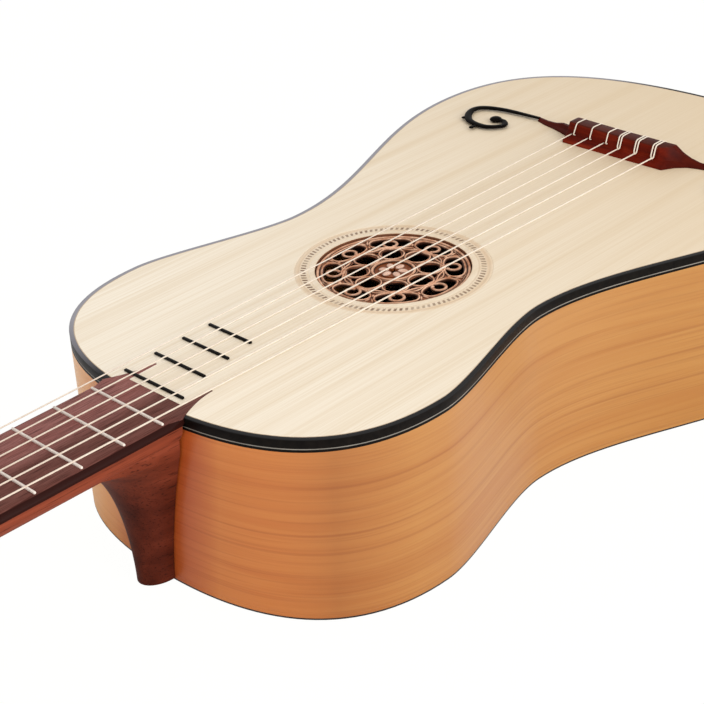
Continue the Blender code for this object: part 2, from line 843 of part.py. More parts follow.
def make_rose(frame):
    panel_top = -ROSE_SINK - ROSE_RELIEF
    panel_low = panel_top - ROSE_PANEL_THICKNESS
    disc = ROSE_RADIUS - GAP
    panel = [circle(disc, ROSE_STEPS)] + rose_openings()
    rose = plate("rose", panel, panel_low, panel_top, frame, rose_wood())

    seat = ROSE_RADIUS + ROSE_SEAT_WIDTH
    flange_low = panel_low - ROSE_LAYER_STEP
    flange = [circle(seat, ROSE_STEPS), circle(disc - ROSE_BAND_WIDTH, ROSE_STEPS)]
    flange_top = -TOP_THICKNESS - GAP
    flange = plate("rose_flange", flange, flange_low, flange_top, frame, None, CUTTERS)
    cut(rose, flange, "UNION")

    edges = rose_arch(ROSE_BAND_WIDTH, 12) + rose_arch(ROSE_LAYER_STEP, 12)
    curls = at_folds(circle(ROSE_CURL_RADIUS, 10), ROSE_ARCH_PITCH_RADIUS)
    eye = circle(ROSE_CURL_RADIUS - ROSE_CURL_WIDTH, 7)
    curls += at_folds(eye, ROSE_ARCH_PITCH_RADIUS)
    layers = (("bands", rose_bands()), ("edges", edges), ("curls", curls))
    for layer, (name, loops) in enumerate(layers):
        drop = layer * ROSE_LAYER_STEP
        low = panel_low + ROSE_PANEL_THICKNESS / 2 - drop
        top = -ROSE_SINK - drop
        work = plate("rose_" + name, loops, low, top, frame, None, CUTTERS)
        cut(rose, work, "UNION")

    ring = [circle(seat, ROSE_STEPS), circle(ROSE_RADIUS, ROSE_STEPS)]
    ring_top = flange_low - GAP
    ring_low = ring_top - ROSE_RING_THICKNESS
    plate("rose_ring", ring, ring_low, ring_top, frame, rose_wood())


def half_section(half, top, depth, roundness, y):
    """A flat-topped round section across the neck at y."""
    points = []
    for i in range(SECTION_STEPS + 1):
        angle = math.pi * i / SECTION_STEPS
        c = math.cos(angle)
        s = abs(math.sin(angle))
        x = math.copysign(abs(c) ** (2 / roundness), c)
        points.append((half * x, y, top - depth * s ** (2 / roundness)))
    return points


def heel_section(half, length, z):
    """A rounded tongue standing out of the body at height z."""
    points = []
    for i in range(SECTION_STEPS + 1):
        angle = math.pi * i / SECTION_STEPS
        c = math.cos(angle)
        s = abs(math.sin(angle))
        x = math.copysign(abs(c) ** (2 / HEEL_ROUNDNESS), c)
        y = NECK_END_Y - GAP - length * s ** (2 / HEEL_ROUNDNESS)
        points.append((half * x, y, z))
    return points


def make_neck(frame):
    sections = []
    for i in range(NECK_STATIONS + 1):
        share = i / NECK_STATIONS
        y = HEAD_Y + share * (NECK_END_Y - GAP - HEAD_Y)
        total = NECK_DEPTH_NUT + share * (NECK_DEPTH_BODY - NECK_DEPTH_NUT)
        depth = total + NECK_TOP
        half = board_half_width(y)
        sections.append(half_section(half, NECK_TOP, depth, NECK_ROUNDNESS, y))
    neck = loft("neck", sections, frame, neck_wood())

    foot_z = back_z(NECK_END_Y) + HEEL_FOOT_CLEAR
    start = (HEEL_LENGTH_TOP, -NECK_DEPTH_BODY)
    front = [start] + bezier(
        start,
        (HEEL_LENGTH_TOP - HEEL_SWEEP_NECK, -NECK_DEPTH_BODY),
        (HEEL_LENGTH_FOOT, foot_z + HEEL_SWEEP_FOOT),
        (HEEL_LENGTH_FOOT, foot_z),
        HEEL_STATIONS,
    )
    heel = []
    root_z = NECK_TOP - BOARD_THICKNESS
    root_half = HEEL_HALF_WIDTH_TOP * HEEL_ROOT_SHARE
    heel.append(heel_section(root_half, HEEL_LENGTH_TOP * HEEL_ROOT_SHARE, root_z))
    for length, z in front:
        share = 1 - (z - root_z) / (foot_z - root_z)
        half = HEEL_HALF_WIDTH_TOP - HEEL_HALF_WIDTH_FOOT
        half = HEEL_HALF_WIDTH_FOOT + half * share**HEEL_NARROWING
        heel.append(heel_section(half, length, z))
    tongue = loft("heel_tongue", heel, frame, None, CUTTERS)
    cut(neck, tongue, "UNION")
    smooth(neck)


def make_fingerboard(frame):
    start = NUT_Y + GAP
    shape = board_outline(0.0, start)
    board = plate(
        "fingerboard", [shape], -BOARD_THICKNESS, 0, frame, board_wood()
    )
    for side in (-1, 1):
        name = "board_bevel_%s" % ("bass" if side > 0 else "treble")
        sections = []
        for y in (start - CUT_SPARE, NECK_END_Y):
            half = board_half_width(y)
            wedge = (
                (side * (half + CUT_SPARE), y, CUT_SPARE),
                (side * (half + CUT_SPARE), y, -BOARD_EDGE_BEVEL - CUT_SPARE),
                (side * (half - BOARD_EDGE_BEVEL - CUT_SPARE), y, CUT_SPARE),
            )
            sections.append(wedge)
        cut(board, loft(name, sections, frame, None, CUTTERS))
    for number in range(1, NECK_FRETS + 1):
        y = fret_y(number)
        half = FRET_WIDTH / 2 + GAP
        reach = board_half_width(y) + CUT_SPARE
        slot = block(
            "fret_slot_%d" % number,
            (-reach, y - half, -FRET_SLOT_DEPTH - GAP),
            (reach, y + half, CUT_SPARE),
            frame,
            None,
            CUTTERS,
        )
        cut(board, slot)


def make_frets(frame):
    for number in range(1, NECK_FRETS + 1):
        y = fret_y(number)
        reach = board_half_width(y) - FRET_END_INSET
        fret = block(
            "fret_%02d" % number,
            (-reach, y - FRET_WIDTH / 2, -FRET_SLOT_DEPTH),
            (reach, y + FRET_WIDTH / 2, FRET_HEIGHT),
            frame,
            bone(),
        )
        soften(fret, FRET_WIDTH * FRET_CHAMFER)
    for step, (start, end) in enumerate(BODY_FRET_SPANS, 1):
        number = NECK_FRETS + step
        y = fret_y(number)
        fret = block(
            "body_fret_%02d" % number,
            (start, y - BODY_FRET_WIDTH / 2, GAP),
            (end, y + BODY_FRET_WIDTH / 2, GAP + BODY_FRET_HEIGHT),
            frame,
            ebony(),
        )
        soften(fret, BODY_FRET_WIDTH * FRET_CHAMFER)


def make_nut(frame):
    half = BOARD_HALF_WIDTH_NUT
    low = NECK_TOP + GAP
    top = STRING_HEIGHT_NUT
    nut = block(
        "nut", (-half, HEAD_Y, low), (half, NUT_Y, top), frame, bone()
    )
    soften(nut, NUT_CHAMFER)
    turn = Matrix.Rotation(math.pi / 2, 4, "X")
    for index in range(STRING_COUNT):
        y = NUT_Y - NUT_LENGTH / 2
        spot = Matrix.Translation((string_x(index, NUT_Y), y, STRING_HEIGHT_NUT))
        name = "nut_groove_%d" % (index + 1)
        radius = string_diameter(index) / 2 + GAP
        length = NUT_LENGTH + CUT_SPARE
        groove = rod(name, radius, length, spot @ turn, frame, NUT_GROOVE_STEPS)
        cut(nut, groove)


def head_outline():
    """Plan of the head in its own frame, from the nut at y = 0 towards -Y."""
    nut = (HEAD_HALF_WIDTH_NUT, 0.0)
    shoulder = (HEAD_HALF_WIDTH_SHOULDER, -HEAD_SHOULDER_FROM_NUT)
    corner = (HEAD_HALF_WIDTH_TIP, -HEAD_LENGTH + HEAD_CORNER_DROP)
    tip = (0.0, -HEAD_LENGTH)
    ease = HEAD_SHOULDER_FROM_NUT * HEAD_SHOULDER_EASE
    third = (shoulder[1] - corner[1]) / 3
    crest = HEAD_HALF_WIDTH_TIP * HEAD_CREST_FULLNESS
    edge = [nut]
    edge += bezier(nut, (nut[0], -ease), (shoulder[0], -ease), shoulder, HEAD_STEPS)
    edge += bezier(
        shoulder,
        (shoulder[0], shoulder[1] - third),
        (shoulder[0], corner[1] + third),
        corner,
        HEAD_STEPS,
    )
    edge += bezier(corner, (crest, corner[1]), (crest, tip[1]), tip, HEAD_STEPS)
    return edge + mirrored(edge[:-1])[::-1]


def peg_places():
    """Centre of each peg on the head's face, in string order."""
    places = []
    for index in range(STRING_COUNT):
        side = -1 if index < PEG_ROW_COUNT else 1
        row = min(index, STRING_COUNT - 1 - index)
        spread = PEG_HALF_SPREAD_LAST - PEG_HALF_SPREAD_FIRST
        spread = PEG_HALF_SPREAD_FIRST + spread * row / (PEG_ROW_COUNT - 1)
        places.append((side * spread, -(PEG_FIRST_FROM_NUT + row * PEG_PITCH)))
    return places


def make_head(frame, head):
    top = -VENEER_THICKNESS - GAP
    plan = head_outline()
    thick = top - HEAD_THICKNESS_NUT
    core = plate("head", [plan], thick, top, head, neck_wood())
    for vertex in core.data.vertices:
        if vertex.co.z < top - HEAD_THICKNESS_NUT / 2:
            share = -vertex.co.y / HEAD_LENGTH
            vertex.co.z += share * (HEAD_THICKNESS_NUT - HEAD_THICKNESS_TIP)
    veneer = plate("head_veneer", [plan], -VENEER_THICKNESS, 0, head, ebony())
    radius = PEG_RADIUS_BACK + GAP
    for index, (x, y) in enumerate(peg_places()):
        spot = Matrix.Translation((x, y, 0))
        name = "peg_hole_%d" % (index + 1)
        hole = rod(name, radius, 4 * HEAD_THICKNESS_NUT, spot, head, PEG_STEPS)
        cut(core, hole)
        cut(veneer, hole)
    low = (-BODY_DEPTH_NECK, HEAD_Y - GAP, -BODY_DEPTH_NECK)
    high = (BODY_DEPTH_NECK, NUT_Y, BODY_DEPTH_NECK)
    neck_side = block("neck_side", low, high, frame, None, CUTTERS)
    cut(core, neck_side)
    cut(veneer, neck_side)


def head_back_z(y):
    """Height of the head's rear face in the head's frame."""
    share = -y / HEAD_LENGTH
    thickness = HEAD_THICKNESS_NUT + share * (HEAD_THICKNESS_TIP - HEAD_THICKNESS_NUT)
    return -VENEER_THICKNESS - GAP - thickness


def peg_shaft(rear):
    """Turned profile of a peg from its front end down to the grip, as (radius, z)."""
    collar_top = rear - GAP * 2
    collar_low = collar_top - PEG_COLLAR_HEIGHT
    rim_z = collar_top - PEG_COLLAR_HEIGHT * PEG_COLLAR_RIM_SHARE
    waist_z = collar_top - PEG_COLLAR_HEIGHT * PEG_COLLAR_WAIST_SHARE
    grip_z = collar_low - PEG_GRIP_HEIGHT / 2
    return (
        (0.0, PEG_FRONT_REACH),
        (PEG_RADIUS_FRONT * PEG_END_SHARE, PEG_FRONT_REACH),
        (PEG_RADIUS_FRONT, PEG_FRONT_REACH - PEG_END_CHAMFER),
        (PEG_RADIUS_BACK, collar_top),
        (PEG_COLLAR_RADIUS, collar_top),
        (PEG_COLLAR_RADIUS, rim_z),
        (PEG_RADIUS_BACK * PEG_WAIST_SHARE, waist_z),
        (PEG_RADIUS_BACK, collar_low),
        (PEG_RADIUS_BACK * PEG_COLLAR_WAIST_SHARE, grip_z),
        (0.0, grip_z),
    )


def ball(name, size, centre, steps, rings, parent):
    """An oval cutter of the given full size."""
    bm = bmesh.new()
    bmesh.ops.create_uvsphere(bm, u_segments=steps, v_segments=rings, radius=0.5)
    bmesh.ops.scale(bm, vec=size, verts=bm.verts)
    bmesh.ops.translate(bm, vec=centre, verts=bm.verts)
    return mesh_object(name, bm, parent, None, CUTTERS)


def make_peg(number, x, y, head):
    rear = head_back_z(y)
    name = "peg_%d" % number
    mesh = bpy.data.meshes.new(name)
    profile = peg_shaft(rear)
    points = [(radius, 0, z) for radius, z in profile]
    edges = [(i, i + 1) for i in range(len(points) - 1)]
    mesh.from_pydata(points, edges, [])
    peg = bpy.data.objects.new(name, mesh)
    place(peg, head, ebony())
    peg.location = (x, y, 0)
    turn = peg.modifiers.new("turned", "SCREW")
    turn.steps = PEG_STEPS
    turn.render_steps = PEG_STEPS
    turn.use_merge_vertices = True
    turn.merge_threshold = 0.00002
    turn.use_smooth_shade = True

    size = (PEG_GRIP_THICKNESS, PEG_GRIP_WIDTH, PEG_GRIP_HEIGHT)
    grip_z = rear - 2 * GAP - PEG_COLLAR_HEIGHT + PEG_GRIP_OVERLAP - PEG_GRIP_HEIGHT / 2
    name = "peg_grip_%d" % number
    grip = ball(name, size, (x, y, grip_z), PEG_STEPS, PEG_GRIP_RINGS, head)
    cut(peg, grip, "UNION")
    pip_size = (2 * PEG_PIP_RADIUS,) * 3
    pip_z = grip_z - PEG_GRIP_HEIGHT / 2 - PEG_PIP_RADIUS / 2
    name = "peg_pip_%d" % number
    pip = ball(name, pip_size, (x, y, pip_z), PEG_STEPS - 2, PEG_GRIP_RINGS - 2, head)
    cut(peg, pip, "UNION")
    return peg


def peg_radius(z):
    """Radius of the peg's shaft at height z above the head's face."""
    share = (PEG_FRONT_REACH - z) / (PEG_FRONT_REACH + HEAD_THICKNESS_NUT)
    return PEG_RADIUS_FRONT + share * (PEG_RADIUS_BACK - PEG_RADIUS_FRONT)


def make_winding(number, x, y, diameter, head):
    """The turns of a string round its peg, as one grooved sleeve."""
    low = WINDING_FROM_FACE
    pitch = WINDING_HEIGHT / WINDING_TURNS
    inner = peg_radius(low) + GAP
    thick = max(diameter, WINDING_MIN_THICKNESS)
    profile = [(inner, low + WINDING_HEIGHT)]
    for turn in range(WINDING_TURNS):
        top = low + WINDING_HEIGHT - turn * pitch
        profile.append((inner + thick / 2, top))
        profile.append((inner + thick, top - pitch / 2))
    profile.append((inner + thick / 2, low))
    profile.append((inner, low))
    bm = bmesh.new()
    rings = []
    for step in range(PEG_STEPS):
        angle = 2 * math.pi * step / PEG_STEPS
        c = math.cos(angle)
        s = math.sin(angle)
        rings.append([bm.verts.new((r * c, r * s, z)) for r, z in profile])
    for a, b in zip(rings, rings[1:] + rings[:1]):
        for i in range(len(profile)):
            j = (i + 1) % len(profile)
            bm.faces.new((a[i], b[i], b[j], a[j]))
    bmesh.ops.recalc_face_normals(bm, faces=bm.faces)
    winding = mesh_object("string_winding_%d" % number, bm, head, gut())
    winding.location = (x, y, 0)
    return inner + thick


def string_route(index, head, winding_radius):
    """A string from its peg over the nut, along the neck and round the tie block."""
    diameter = string_diameter(index)
    reach = diameter / 2 + GAP
    x, y = peg_places()[index]
    inward = math.copysign(winding_radius + reach, -x)
    stop = Vector((x + inward, y, WINDING_FROM_FACE + WINDING_HEIGHT / 2))
    turn = Matrix.Rotation(head.rotation_euler.x, 4, "X")
    nut_x = string_x(index, NUT_Y)
    tie_x = string_x(index, BRIDGE_Y)
    hole_z = STRING_HEIGHT_BRIDGE
    back = BRIDGE_Y + BRIDGE_DEPTH + reach
    rear_z = GAP + BRIDGE_REAR_HEIGHT + reach / 2
    crest_y = BRIDGE_Y + BRIDGE_CREST_DEPTH + reach / 2
    crest_z = GAP + BRIDGE_HEIGHT + reach
    face_y = BRIDGE_Y + BRIDGE_FACE_DEPTH - reach
    end_z = hole_z + 2 * reach
    slope = BRIDGE_FACE_DEPTH - BRIDGE_APRON_DEPTH
    slope /= BRIDGE_HEIGHT - BRIDGE_APRON_HEIGHT
    return [
        Matrix.Translation(head.location) @ turn @ stop,
        Vector((nut_x, HEAD_Y, STRING_HEIGHT_NUT)),
        Vector((nut_x, NUT_Y, STRING_HEIGHT_NUT)),
        Vector((tie_x, BRIDGE_Y, hole_z)),
        Vector((tie_x, back, hole_z)),
        Vector((tie_x, back, rear_z)),
        Vector((tie_x, crest_y, crest_z)),
        Vector((tie_x, face_y, crest_z)),
        Vector((tie_x, face_y - slope * (crest_z - end_z), end_z)),
    ]


def make_string(index, head, winding_radius, frame):
    route = string_route(index, head, winding_radius)
    name = "string_%d" % (index + 1)
    curve = bpy.data.curves.new(name, "CURVE")
    curve.dimensions = "3D"
    curve.bevel_depth = string_diameter(index) / 2
    curve.bevel_resolution = 2
    curve.use_fill_caps = True
    spline = curve.splines.new("POLY")
    spline.points.add(len(route) - 1)
    for point, spot in zip(spline.points, route):
        point.co = (*spot, 1)
    smooth(from_curve(curve, name, frame, gut()), 60.0)


def bridge_section(x):
    """The bridge's cross section at x, seated just above the soundboard."""
    beyond = abs(x) - BRIDGE_BLOCK_HALF_LENGTH
    run = BRIDGE_HALF_LENGTH - BRIDGE_BLOCK_HALF_LENGTH
    share = max(0.0, beyond / run)
    keep = (1 - share) ** BRIDGE_WING_SWEEP
    depth = BRIDGE_TIP_WIDTH / BRIDGE_DEPTH
    depth += (1 - depth) * keep
    height = BRIDGE_TIP_HEIGHT / BRIDGE_HEIGHT
    height += (1 - height) * keep
    outline = (
        (0.0, 0.0),
        (0.0, BRIDGE_TOE_HEIGHT),
        (BRIDGE_APRON_DEPTH, BRIDGE_APRON_HEIGHT),
        (BRIDGE_FACE_DEPTH, BRIDGE_HEIGHT),
        (BRIDGE_CREST_DEPTH, BRIDGE_HEIGHT),
        (BRIDGE_DEPTH, BRIDGE_REAR_HEIGHT),
        (BRIDGE_DEPTH, 0.0),
    )
    back = BRIDGE_Y + BRIDGE_DEPTH + BRIDGE_TIP_BACK * share * share
    return [
        (x, back - depth * (BRIDGE_DEPTH - along), GAP + height * up)
        for along, up in outline
    ]


def make_bridge(frame):
    stations = []
    run = BRIDGE_HALF_LENGTH - BRIDGE_BLOCK_HALF_LENGTH
    for i in range(BRIDGE_STATIONS + 1):
        share = (i / BRIDGE_STATIONS) ** BRIDGE_STATION_SPREAD
        stations.append(BRIDGE_BLOCK_HALF_LENGTH + run * share)
    stations = [-x for x in reversed(stations)] + stations
    sections = [bridge_section(x) for x in stations]
    bridge = loft("bridge", sections, frame, bridge_wood())
    turn = Matrix.Rotation(math.pi / 2, 4, "X")
    y = BRIDGE_Y + BRIDGE_DEPTH / 2
    length = BRIDGE_DEPTH + CUT_SPARE
    for index in range(STRING_COUNT):
        x = string_x(index, BRIDGE_Y)
        spot = Matrix.Translation((x, y, STRING_HEIGHT_BRIDGE)) @ turn
        radius = string_diameter(index) / 2 + GAP
        name = "tie_hole_%d" % (index + 1)
        cut(bridge, rod(name, radius, length, spot, frame, TIE_HOLE_STEPS))


def scroll_points():
    """Centre line from the wing's tip to the eye, as shares of the length, and widths."""
    return (
        (0.00, 0.00, 0.9),
        (0.65, -0.05, 1.0),
        (0.99, -0.20, 1.1),
        (1.00, -0.45, 1.1),
        (0.78, -0.71, 1.1),
        (0.43, -0.74, 1.1),
        (0.23, -0.55, 1.0),
        (0.39, -0.39, 0.9),
        (0.60, -0.38, 1.3),
    )


def make_scrolls(frame):
    tip_x = BRIDGE_HALF_LENGTH + GAP
    tip_y = BRIDGE_Y + BRIDGE_DEPTH + BRIDGE_TIP_BACK - BRIDGE_TIP_WIDTH / 2
    for name, side in (("scroll_bass", 1), ("scroll_treble", -1)):
        curve = bpy.data.curves.new(name, "CURVE")
        curve.dimensions = "3D"
        curve.bevel_depth = SCROLL_RADIUS
        curve.bevel_resolution = 1
        curve.use_fill_caps = True
        curve.resolution_u = SCROLL_STEPS
        spline = curve.splines.new("BEZIER")
        points = scroll_points()
        spline.bezier_points.add(len(points) - 1)
        for knot, (out, along, width) in zip(spline.bezier_points, points):
            x = tip_x + SCROLL_LENGTH * out
            knot.co = (side * x, tip_y + SCROLL_LENGTH * along, 0)
            knot.radius = width
            knot.handle_left_type = "AUTO"
            knot.handle_right_type = "AUTO"
        scroll = from_curve(curve, name, frame, ebony())
        flat = Matrix.Diagonal((1, 1, SCROLL_FLATNESS, 1))
        scroll.data.transform(flat)
        low = min(vertex.co.z for vertex in scroll.data.vertices)
        scroll.data.transform(Matrix.Translation((0, 0, GAP - low)))
        smooth(scroll, 60.0)


def rest_on_origin(frame):
    """Moves the guitar so that its box stands centred on the origin."""
    bpy.context.view_layer.update()
    graph = bpy.context.evaluated_depsgraph_get()
    corners = []
    for obj in bpy.data.collections[PARTS].objects:
        if obj.type == "MESH":
            shown = obj.evaluated_get(graph)
            corners += [shown.matrix_world @ v.co for v in shown.data.vertices]
    for axis in (0, 1):
        values = [corner[axis] for corner in corners]
        frame.location[axis] -= (min(values) + max(values)) / 2
    frame.location.z -= min(corner.z for corner in corners)


def main():
    clear_scene()
    frame = empty("guitar", tilt=math.atan(BACK_SLOPE))
    make_soundboard(frame)
    make_binding(frame)
    make_ribs(frame)
    make_back(frame)
    make_linings(frame)
    make_blocks(frame)
    make_bars(frame)
    make_rose(frame)
    make_neck(frame)
    make_fingerboard(frame)
    make_frets(frame)
    make_nut(frame)
    head = empty("head_frame", frame, (0, HEAD_Y, NECK_TOP), math.radians(HEAD_ANGLE))
    make_head(frame, head)
    for index, (x, y) in enumerate(peg_places()):
        make_peg(index + 1, x, y, head)
        radius = make_winding(index + 1, x, y, string_diameter(index), head)
        make_string(index, head, radius, frame)
    make_bridge(frame)
    make_scrolls(frame)
    rest_on_origin(frame)


main()
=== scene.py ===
import math

import bmesh
import bpy
from mathutils import Euler, Matrix, Vector


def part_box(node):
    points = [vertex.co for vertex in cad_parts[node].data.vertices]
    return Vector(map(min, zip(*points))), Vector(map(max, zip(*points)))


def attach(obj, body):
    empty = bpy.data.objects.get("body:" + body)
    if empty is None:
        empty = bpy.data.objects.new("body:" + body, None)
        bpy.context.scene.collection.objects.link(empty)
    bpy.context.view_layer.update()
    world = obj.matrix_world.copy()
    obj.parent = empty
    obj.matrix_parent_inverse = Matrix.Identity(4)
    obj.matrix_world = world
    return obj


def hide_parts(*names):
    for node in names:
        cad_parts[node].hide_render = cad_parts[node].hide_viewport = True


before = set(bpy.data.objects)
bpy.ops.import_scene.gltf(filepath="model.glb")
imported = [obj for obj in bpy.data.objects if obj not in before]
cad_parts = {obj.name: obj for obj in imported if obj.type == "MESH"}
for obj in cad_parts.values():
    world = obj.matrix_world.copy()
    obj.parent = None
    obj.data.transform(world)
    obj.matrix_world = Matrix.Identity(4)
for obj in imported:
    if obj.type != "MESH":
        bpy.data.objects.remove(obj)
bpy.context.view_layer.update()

# Body outline, nearly the curve that the solids have, drawn with more points
BODY_LENGTH = 0.445
ROSE_FROM_NECK_END = 0.1598
UPPER_HALF_WIDTH = 0.1006
UPPER_FROM_NECK_END = 0.0812
WAIST_HALF_WIDTH = 0.0809
WAIST_FROM_NECK_END = 0.1718
LOWER_HALF_WIDTH = 0.1290
LOWER_FROM_NECK_END = 0.3509
SHOULDER_REACH = 0.061
UPPER_RISE = 0.0595
UPPER_FALL = 0.021
WAIST_RISE = 0.0235
WAIST_FALL = 0.0566
LOWER_RISE = 0.0665
LOWER_FALL = 0.0651
TAIL_REACH = 0.0865
OUTLINE_STEPS = 30

# Body depth and walls
BODY_DEPTH_NECK = 0.0918
BODY_DEPTH_TAIL = 0.1012
TOP_THICKNESS = 0.0022
BACK_THICKNESS = 0.0025
BACK_LINE_HEIGHT = 0.0009
BACK_EDGE_BEVEL = 0.0007
RIB_THICKNESS = 0.0020
BINDING_WIDTH = 0.0021
BINDING_HEIGHT = 0.0062
BINDING_LINE_TOP = 0.0044
BINDING_LINE_HEIGHT = 0.0005
BINDING_LINE_INSET = 0.00004
BINDING_END_SHARE = 0.88
EDGE_LINE_WIDTH = 0.0004
EDGE_LINE_DEPTH = 0.001
GAP = 0.0003

# Rose and the burnt border round it
ROSE_RADIUS = 0.0383
ROSE_SINK = 0.0010
ROSE_SEAT_WIDTH = 0.006
ROSE_RELIEF = 0.0008
ROSE_PANEL_THICKNESS = 0.0010
ROSE_RING_TOP = -0.0046
ROSE_RING_THICKNESS = 0.0023
CENTRE_RADIUS = 0.0104
CENTRE_FLOOR = 0.0022
BOSS_RADIUS = 0.0072
STAR_RADIUS = 0.0031
STAR_WAIST = 0.0016
PETALS = 6
PETAL_PITCH = 0.0048
PETAL_SIZE = (0.0027, 0.0019, 0.0010)
CELL_PITCH = 0.0178
CELL_HALF_SIZE = 0.0048
CELL_RING_RADIUS = 0.0062
# Dark bands under the carved lines: painted shade that outlines them
SHADE_OUTLINE_WIDTH = 0.0004
SHADE_OUTLINE_RISE = 0.00012
FINE_LINE_WIDTH = 0.0005
FINE_LINE_DROP = 0.0003
EYE_PITCH = 0.0209
BEAD_PITCH = 0.0285
BEAD_SIZE = (0.0010, 0.0007, 0.0007)
LEAF_PITCH = 0.0332
LEAF_SIDE = 0.0012
LEAF_SPREAD = 24.0
LEAF_SIZE = (0.0022, 0.0006, 0.0007)
WEAVE_RADIUS = 0.0242
WEAVE_SWING = 0.0011
ARCH_PITCH = 0.0297
ARCH_HALF_DEPTH = 0.0046
ARCH_HALF_LENGTH = 0.0101
ARCH_SQUARENESS = 2.6
ARCH_STEPS = 72
ARCH_ECHO_SPANS = ((0.04, 0.20), (0.80, 0.96))
CURL_RADIUS = 0.0036
CURL_START = 168.0
CURL_TURN = -318.0
CURL_STEPS = 28
CURL_END_SIZE = (0.0012, 0.0012, 0.0009)
RIM_WIDTH = 0.0017
BORDER_RADIUS = 0.0486
BORDER_MARK_RADIUS = 0.0440
BORDER_MARK_LENGTH = 0.0027
BORDER_MARK_DEPTH = 0.0003
BORDER_MARK_SLANT = 0.22
BORDER_MARKS = 104
BORDER_GROOVES = (ROSE_RADIUS + 0.0031, BORDER_RADIUS - 0.0021, BORDER_RADIUS - 0.0003)
BORDER_GROOVE_DEPTH = 0.00016
BORDER_GROOVE_WIDTH = 0.00028
FOLDS = 8

# Strings, scale and frets
SCALE_LENGTH = 0.650
NECK_JOINT_FRET = 11.41
STRING_COUNT = 6
STRING_SPREAD_NUT = 0.036
STRING_SPREAD_BRIDGE = 0.0552
STRING_HEIGHT_NUT = 0.0038
STRING_HEIGHT_BRIDGE = 0.0046
STRING_DIAMETER_TREBLE = 0.00066
STRING_DIAMETER_BASS = 0.0008
TIE_SPREAD = 1.1
TIE_CORNER_RADIUS = 0.0016
TIE_FOOT_DEPTH = 0.0026
TREBLE_TIE_LEAN = 0.0028
NECK_FRETS = 11
FRET_WIDTH = 0.0012
FRET_HEIGHT = 0.0010
FRET_SINK = 0.0004
FRET_END_INSET = 0.0024
BODY_FRET_SPANS = (
    (-0.0243, 0.0144),
    (-0.0254, 0.0079),
    (-0.0262, 0.0044),
    (-0.0264, 0.0017),
)
BODY_FRET_WIDTH = 0.0016
BODY_FRET_HEIGHT = 0.0011

# Fingerboard, neck and heel
BOARD_THICKNESS = 0.0030
BOARD_HALF_WIDTH_NUT = 0.0240
BOARD_HALF_WIDTH_BODY = 0.0262
BOARD_EDGE_BEVEL = 0.0021
BOARD_BEVEL_FADE = 0.0060
HORN_LENGTH = 0.0165
HORN_REACH = 0.0240
HORN_TIP_HALF_WIDTH = 0.0188
HORN_ROOT_HALF_WIDTH = 0.0172
HORN_TIP_WIDTH = 0.0010
HORN_CURVE = 1.8
NECK_DEPTH_NUT = 0.0152
NECK_DEPTH_BODY = 0.0178
NECK_ROUNDNESS = 2.3
HEEL_HALF_WIDTH_TOP = 0.0261
HEEL_HALF_WIDTH_FOOT = 0.0088
HEEL_NARROWING = 1.5
HEEL_LENGTH_TOP = 0.046
HEEL_LENGTH_FOOT = 0.0130
HEEL_FOOT_CLEAR = 0.0014
HEEL_ROOT_SHARE = 0.9
HEEL_SWEEP_NECK = 0.020
HEEL_SWEEP_FOOT = 0.047
NUT_LENGTH = 0.005

# Head and pegs
HEAD_LENGTH = 0.188
HEAD_ANGLE = 4.0
HEAD_THICKNESS_NUT = 0.0145
HEAD_THICKNESS_TIP = 0.0115
HEAD_HALF_WIDTH_NUT = 0.0245
HEAD_HALF_WIDTH_SHOULDER = 0.0330
HEAD_SHOULDER_FROM_NUT = 0.026
HEAD_SHOULDER_EASE = 0.6
HEAD_HALF_WIDTH_TIP = 0.0385
HEAD_CORNER_DROP = 0.012
HEAD_CREST_FULLNESS = 0.5
VENEER_THICKNESS = 0.0012
PEG_FIRST_FROM_NUT = 0.048
PEG_PITCH = 0.050
PEG_HALF_SPREAD_FIRST = 0.0225
PEG_HALF_SPREAD_LAST = 0.0235
PEG_ROW_COUNT = 3
PEG_RADIUS_FRONT = 0.0036
PEG_RADIUS_BACK = 0.0043
PEG_FRONT_REACH = 0.0165
PEG_COLLAR_RADIUS = 0.0062
PEG_COLLAR_HEIGHT = 0.0050
PEG_GRIP_WIDTH = 0.0198
PEG_GRIP_HEIGHT = 0.0210
PEG_GRIP_THICKNESS = 0.0070
PEG_GRIP_OVERLAP = 0.0010
PEG_GRIP_STEPS = 22
PEG_PIP_RADIUS = 0.0022
WINDING_HEIGHT = 0.0052
WINDING_FROM_FACE = 0.0055

# Bridge and the scrolls beyond its wings
BRIDGE_DEPTH = 0.0155
BRIDGE_HEIGHT = 0.0110
BRIDGE_HALF_LENGTH = 0.0615
BRIDGE_TREBLE_SHORT = 0.0070
BRIDGE_TIP_WIDTH = 0.0030
BRIDGE_TIP_BACK = 0.0045
BRIDGE_FACE_DEPTH = 0.0045
BRIDGE_CREST_DEPTH = 0.0125
BRIDGE_REAR_HEIGHT = 0.0085
BRIDGE_TREBLE_SKEW = 0.042
SCROLL_LENGTH = 0.0385
SCROLL_RADIUS = 0.0020
SCROLL_FLATNESS = 0.42
SCROLL_END_RADIUS = 0.0036
SPUR_RADIUS = 0.0013
SPUR_END_RADIUS = 0.0015

# Places that follow from the sizes above
NECK_END_Y = -ROSE_FROM_NECK_END
TAIL_Y = NECK_END_Y + BODY_LENGTH
BRIDGE_Y = NECK_END_Y + SCALE_LENGTH / 2 ** (NECK_JOINT_FRET / 12)
NUT_Y = BRIDGE_Y - SCALE_LENGTH
BACK_SLOPE = (BODY_DEPTH_TAIL - BODY_DEPTH_NECK) / BODY_LENGTH
NECK_TOP = -BOARD_THICKNESS - GAP
HEAD_Y = NUT_Y - NUT_LENGTH
TOP_INSET = BINDING_WIDTH + EDGE_LINE_WIDTH


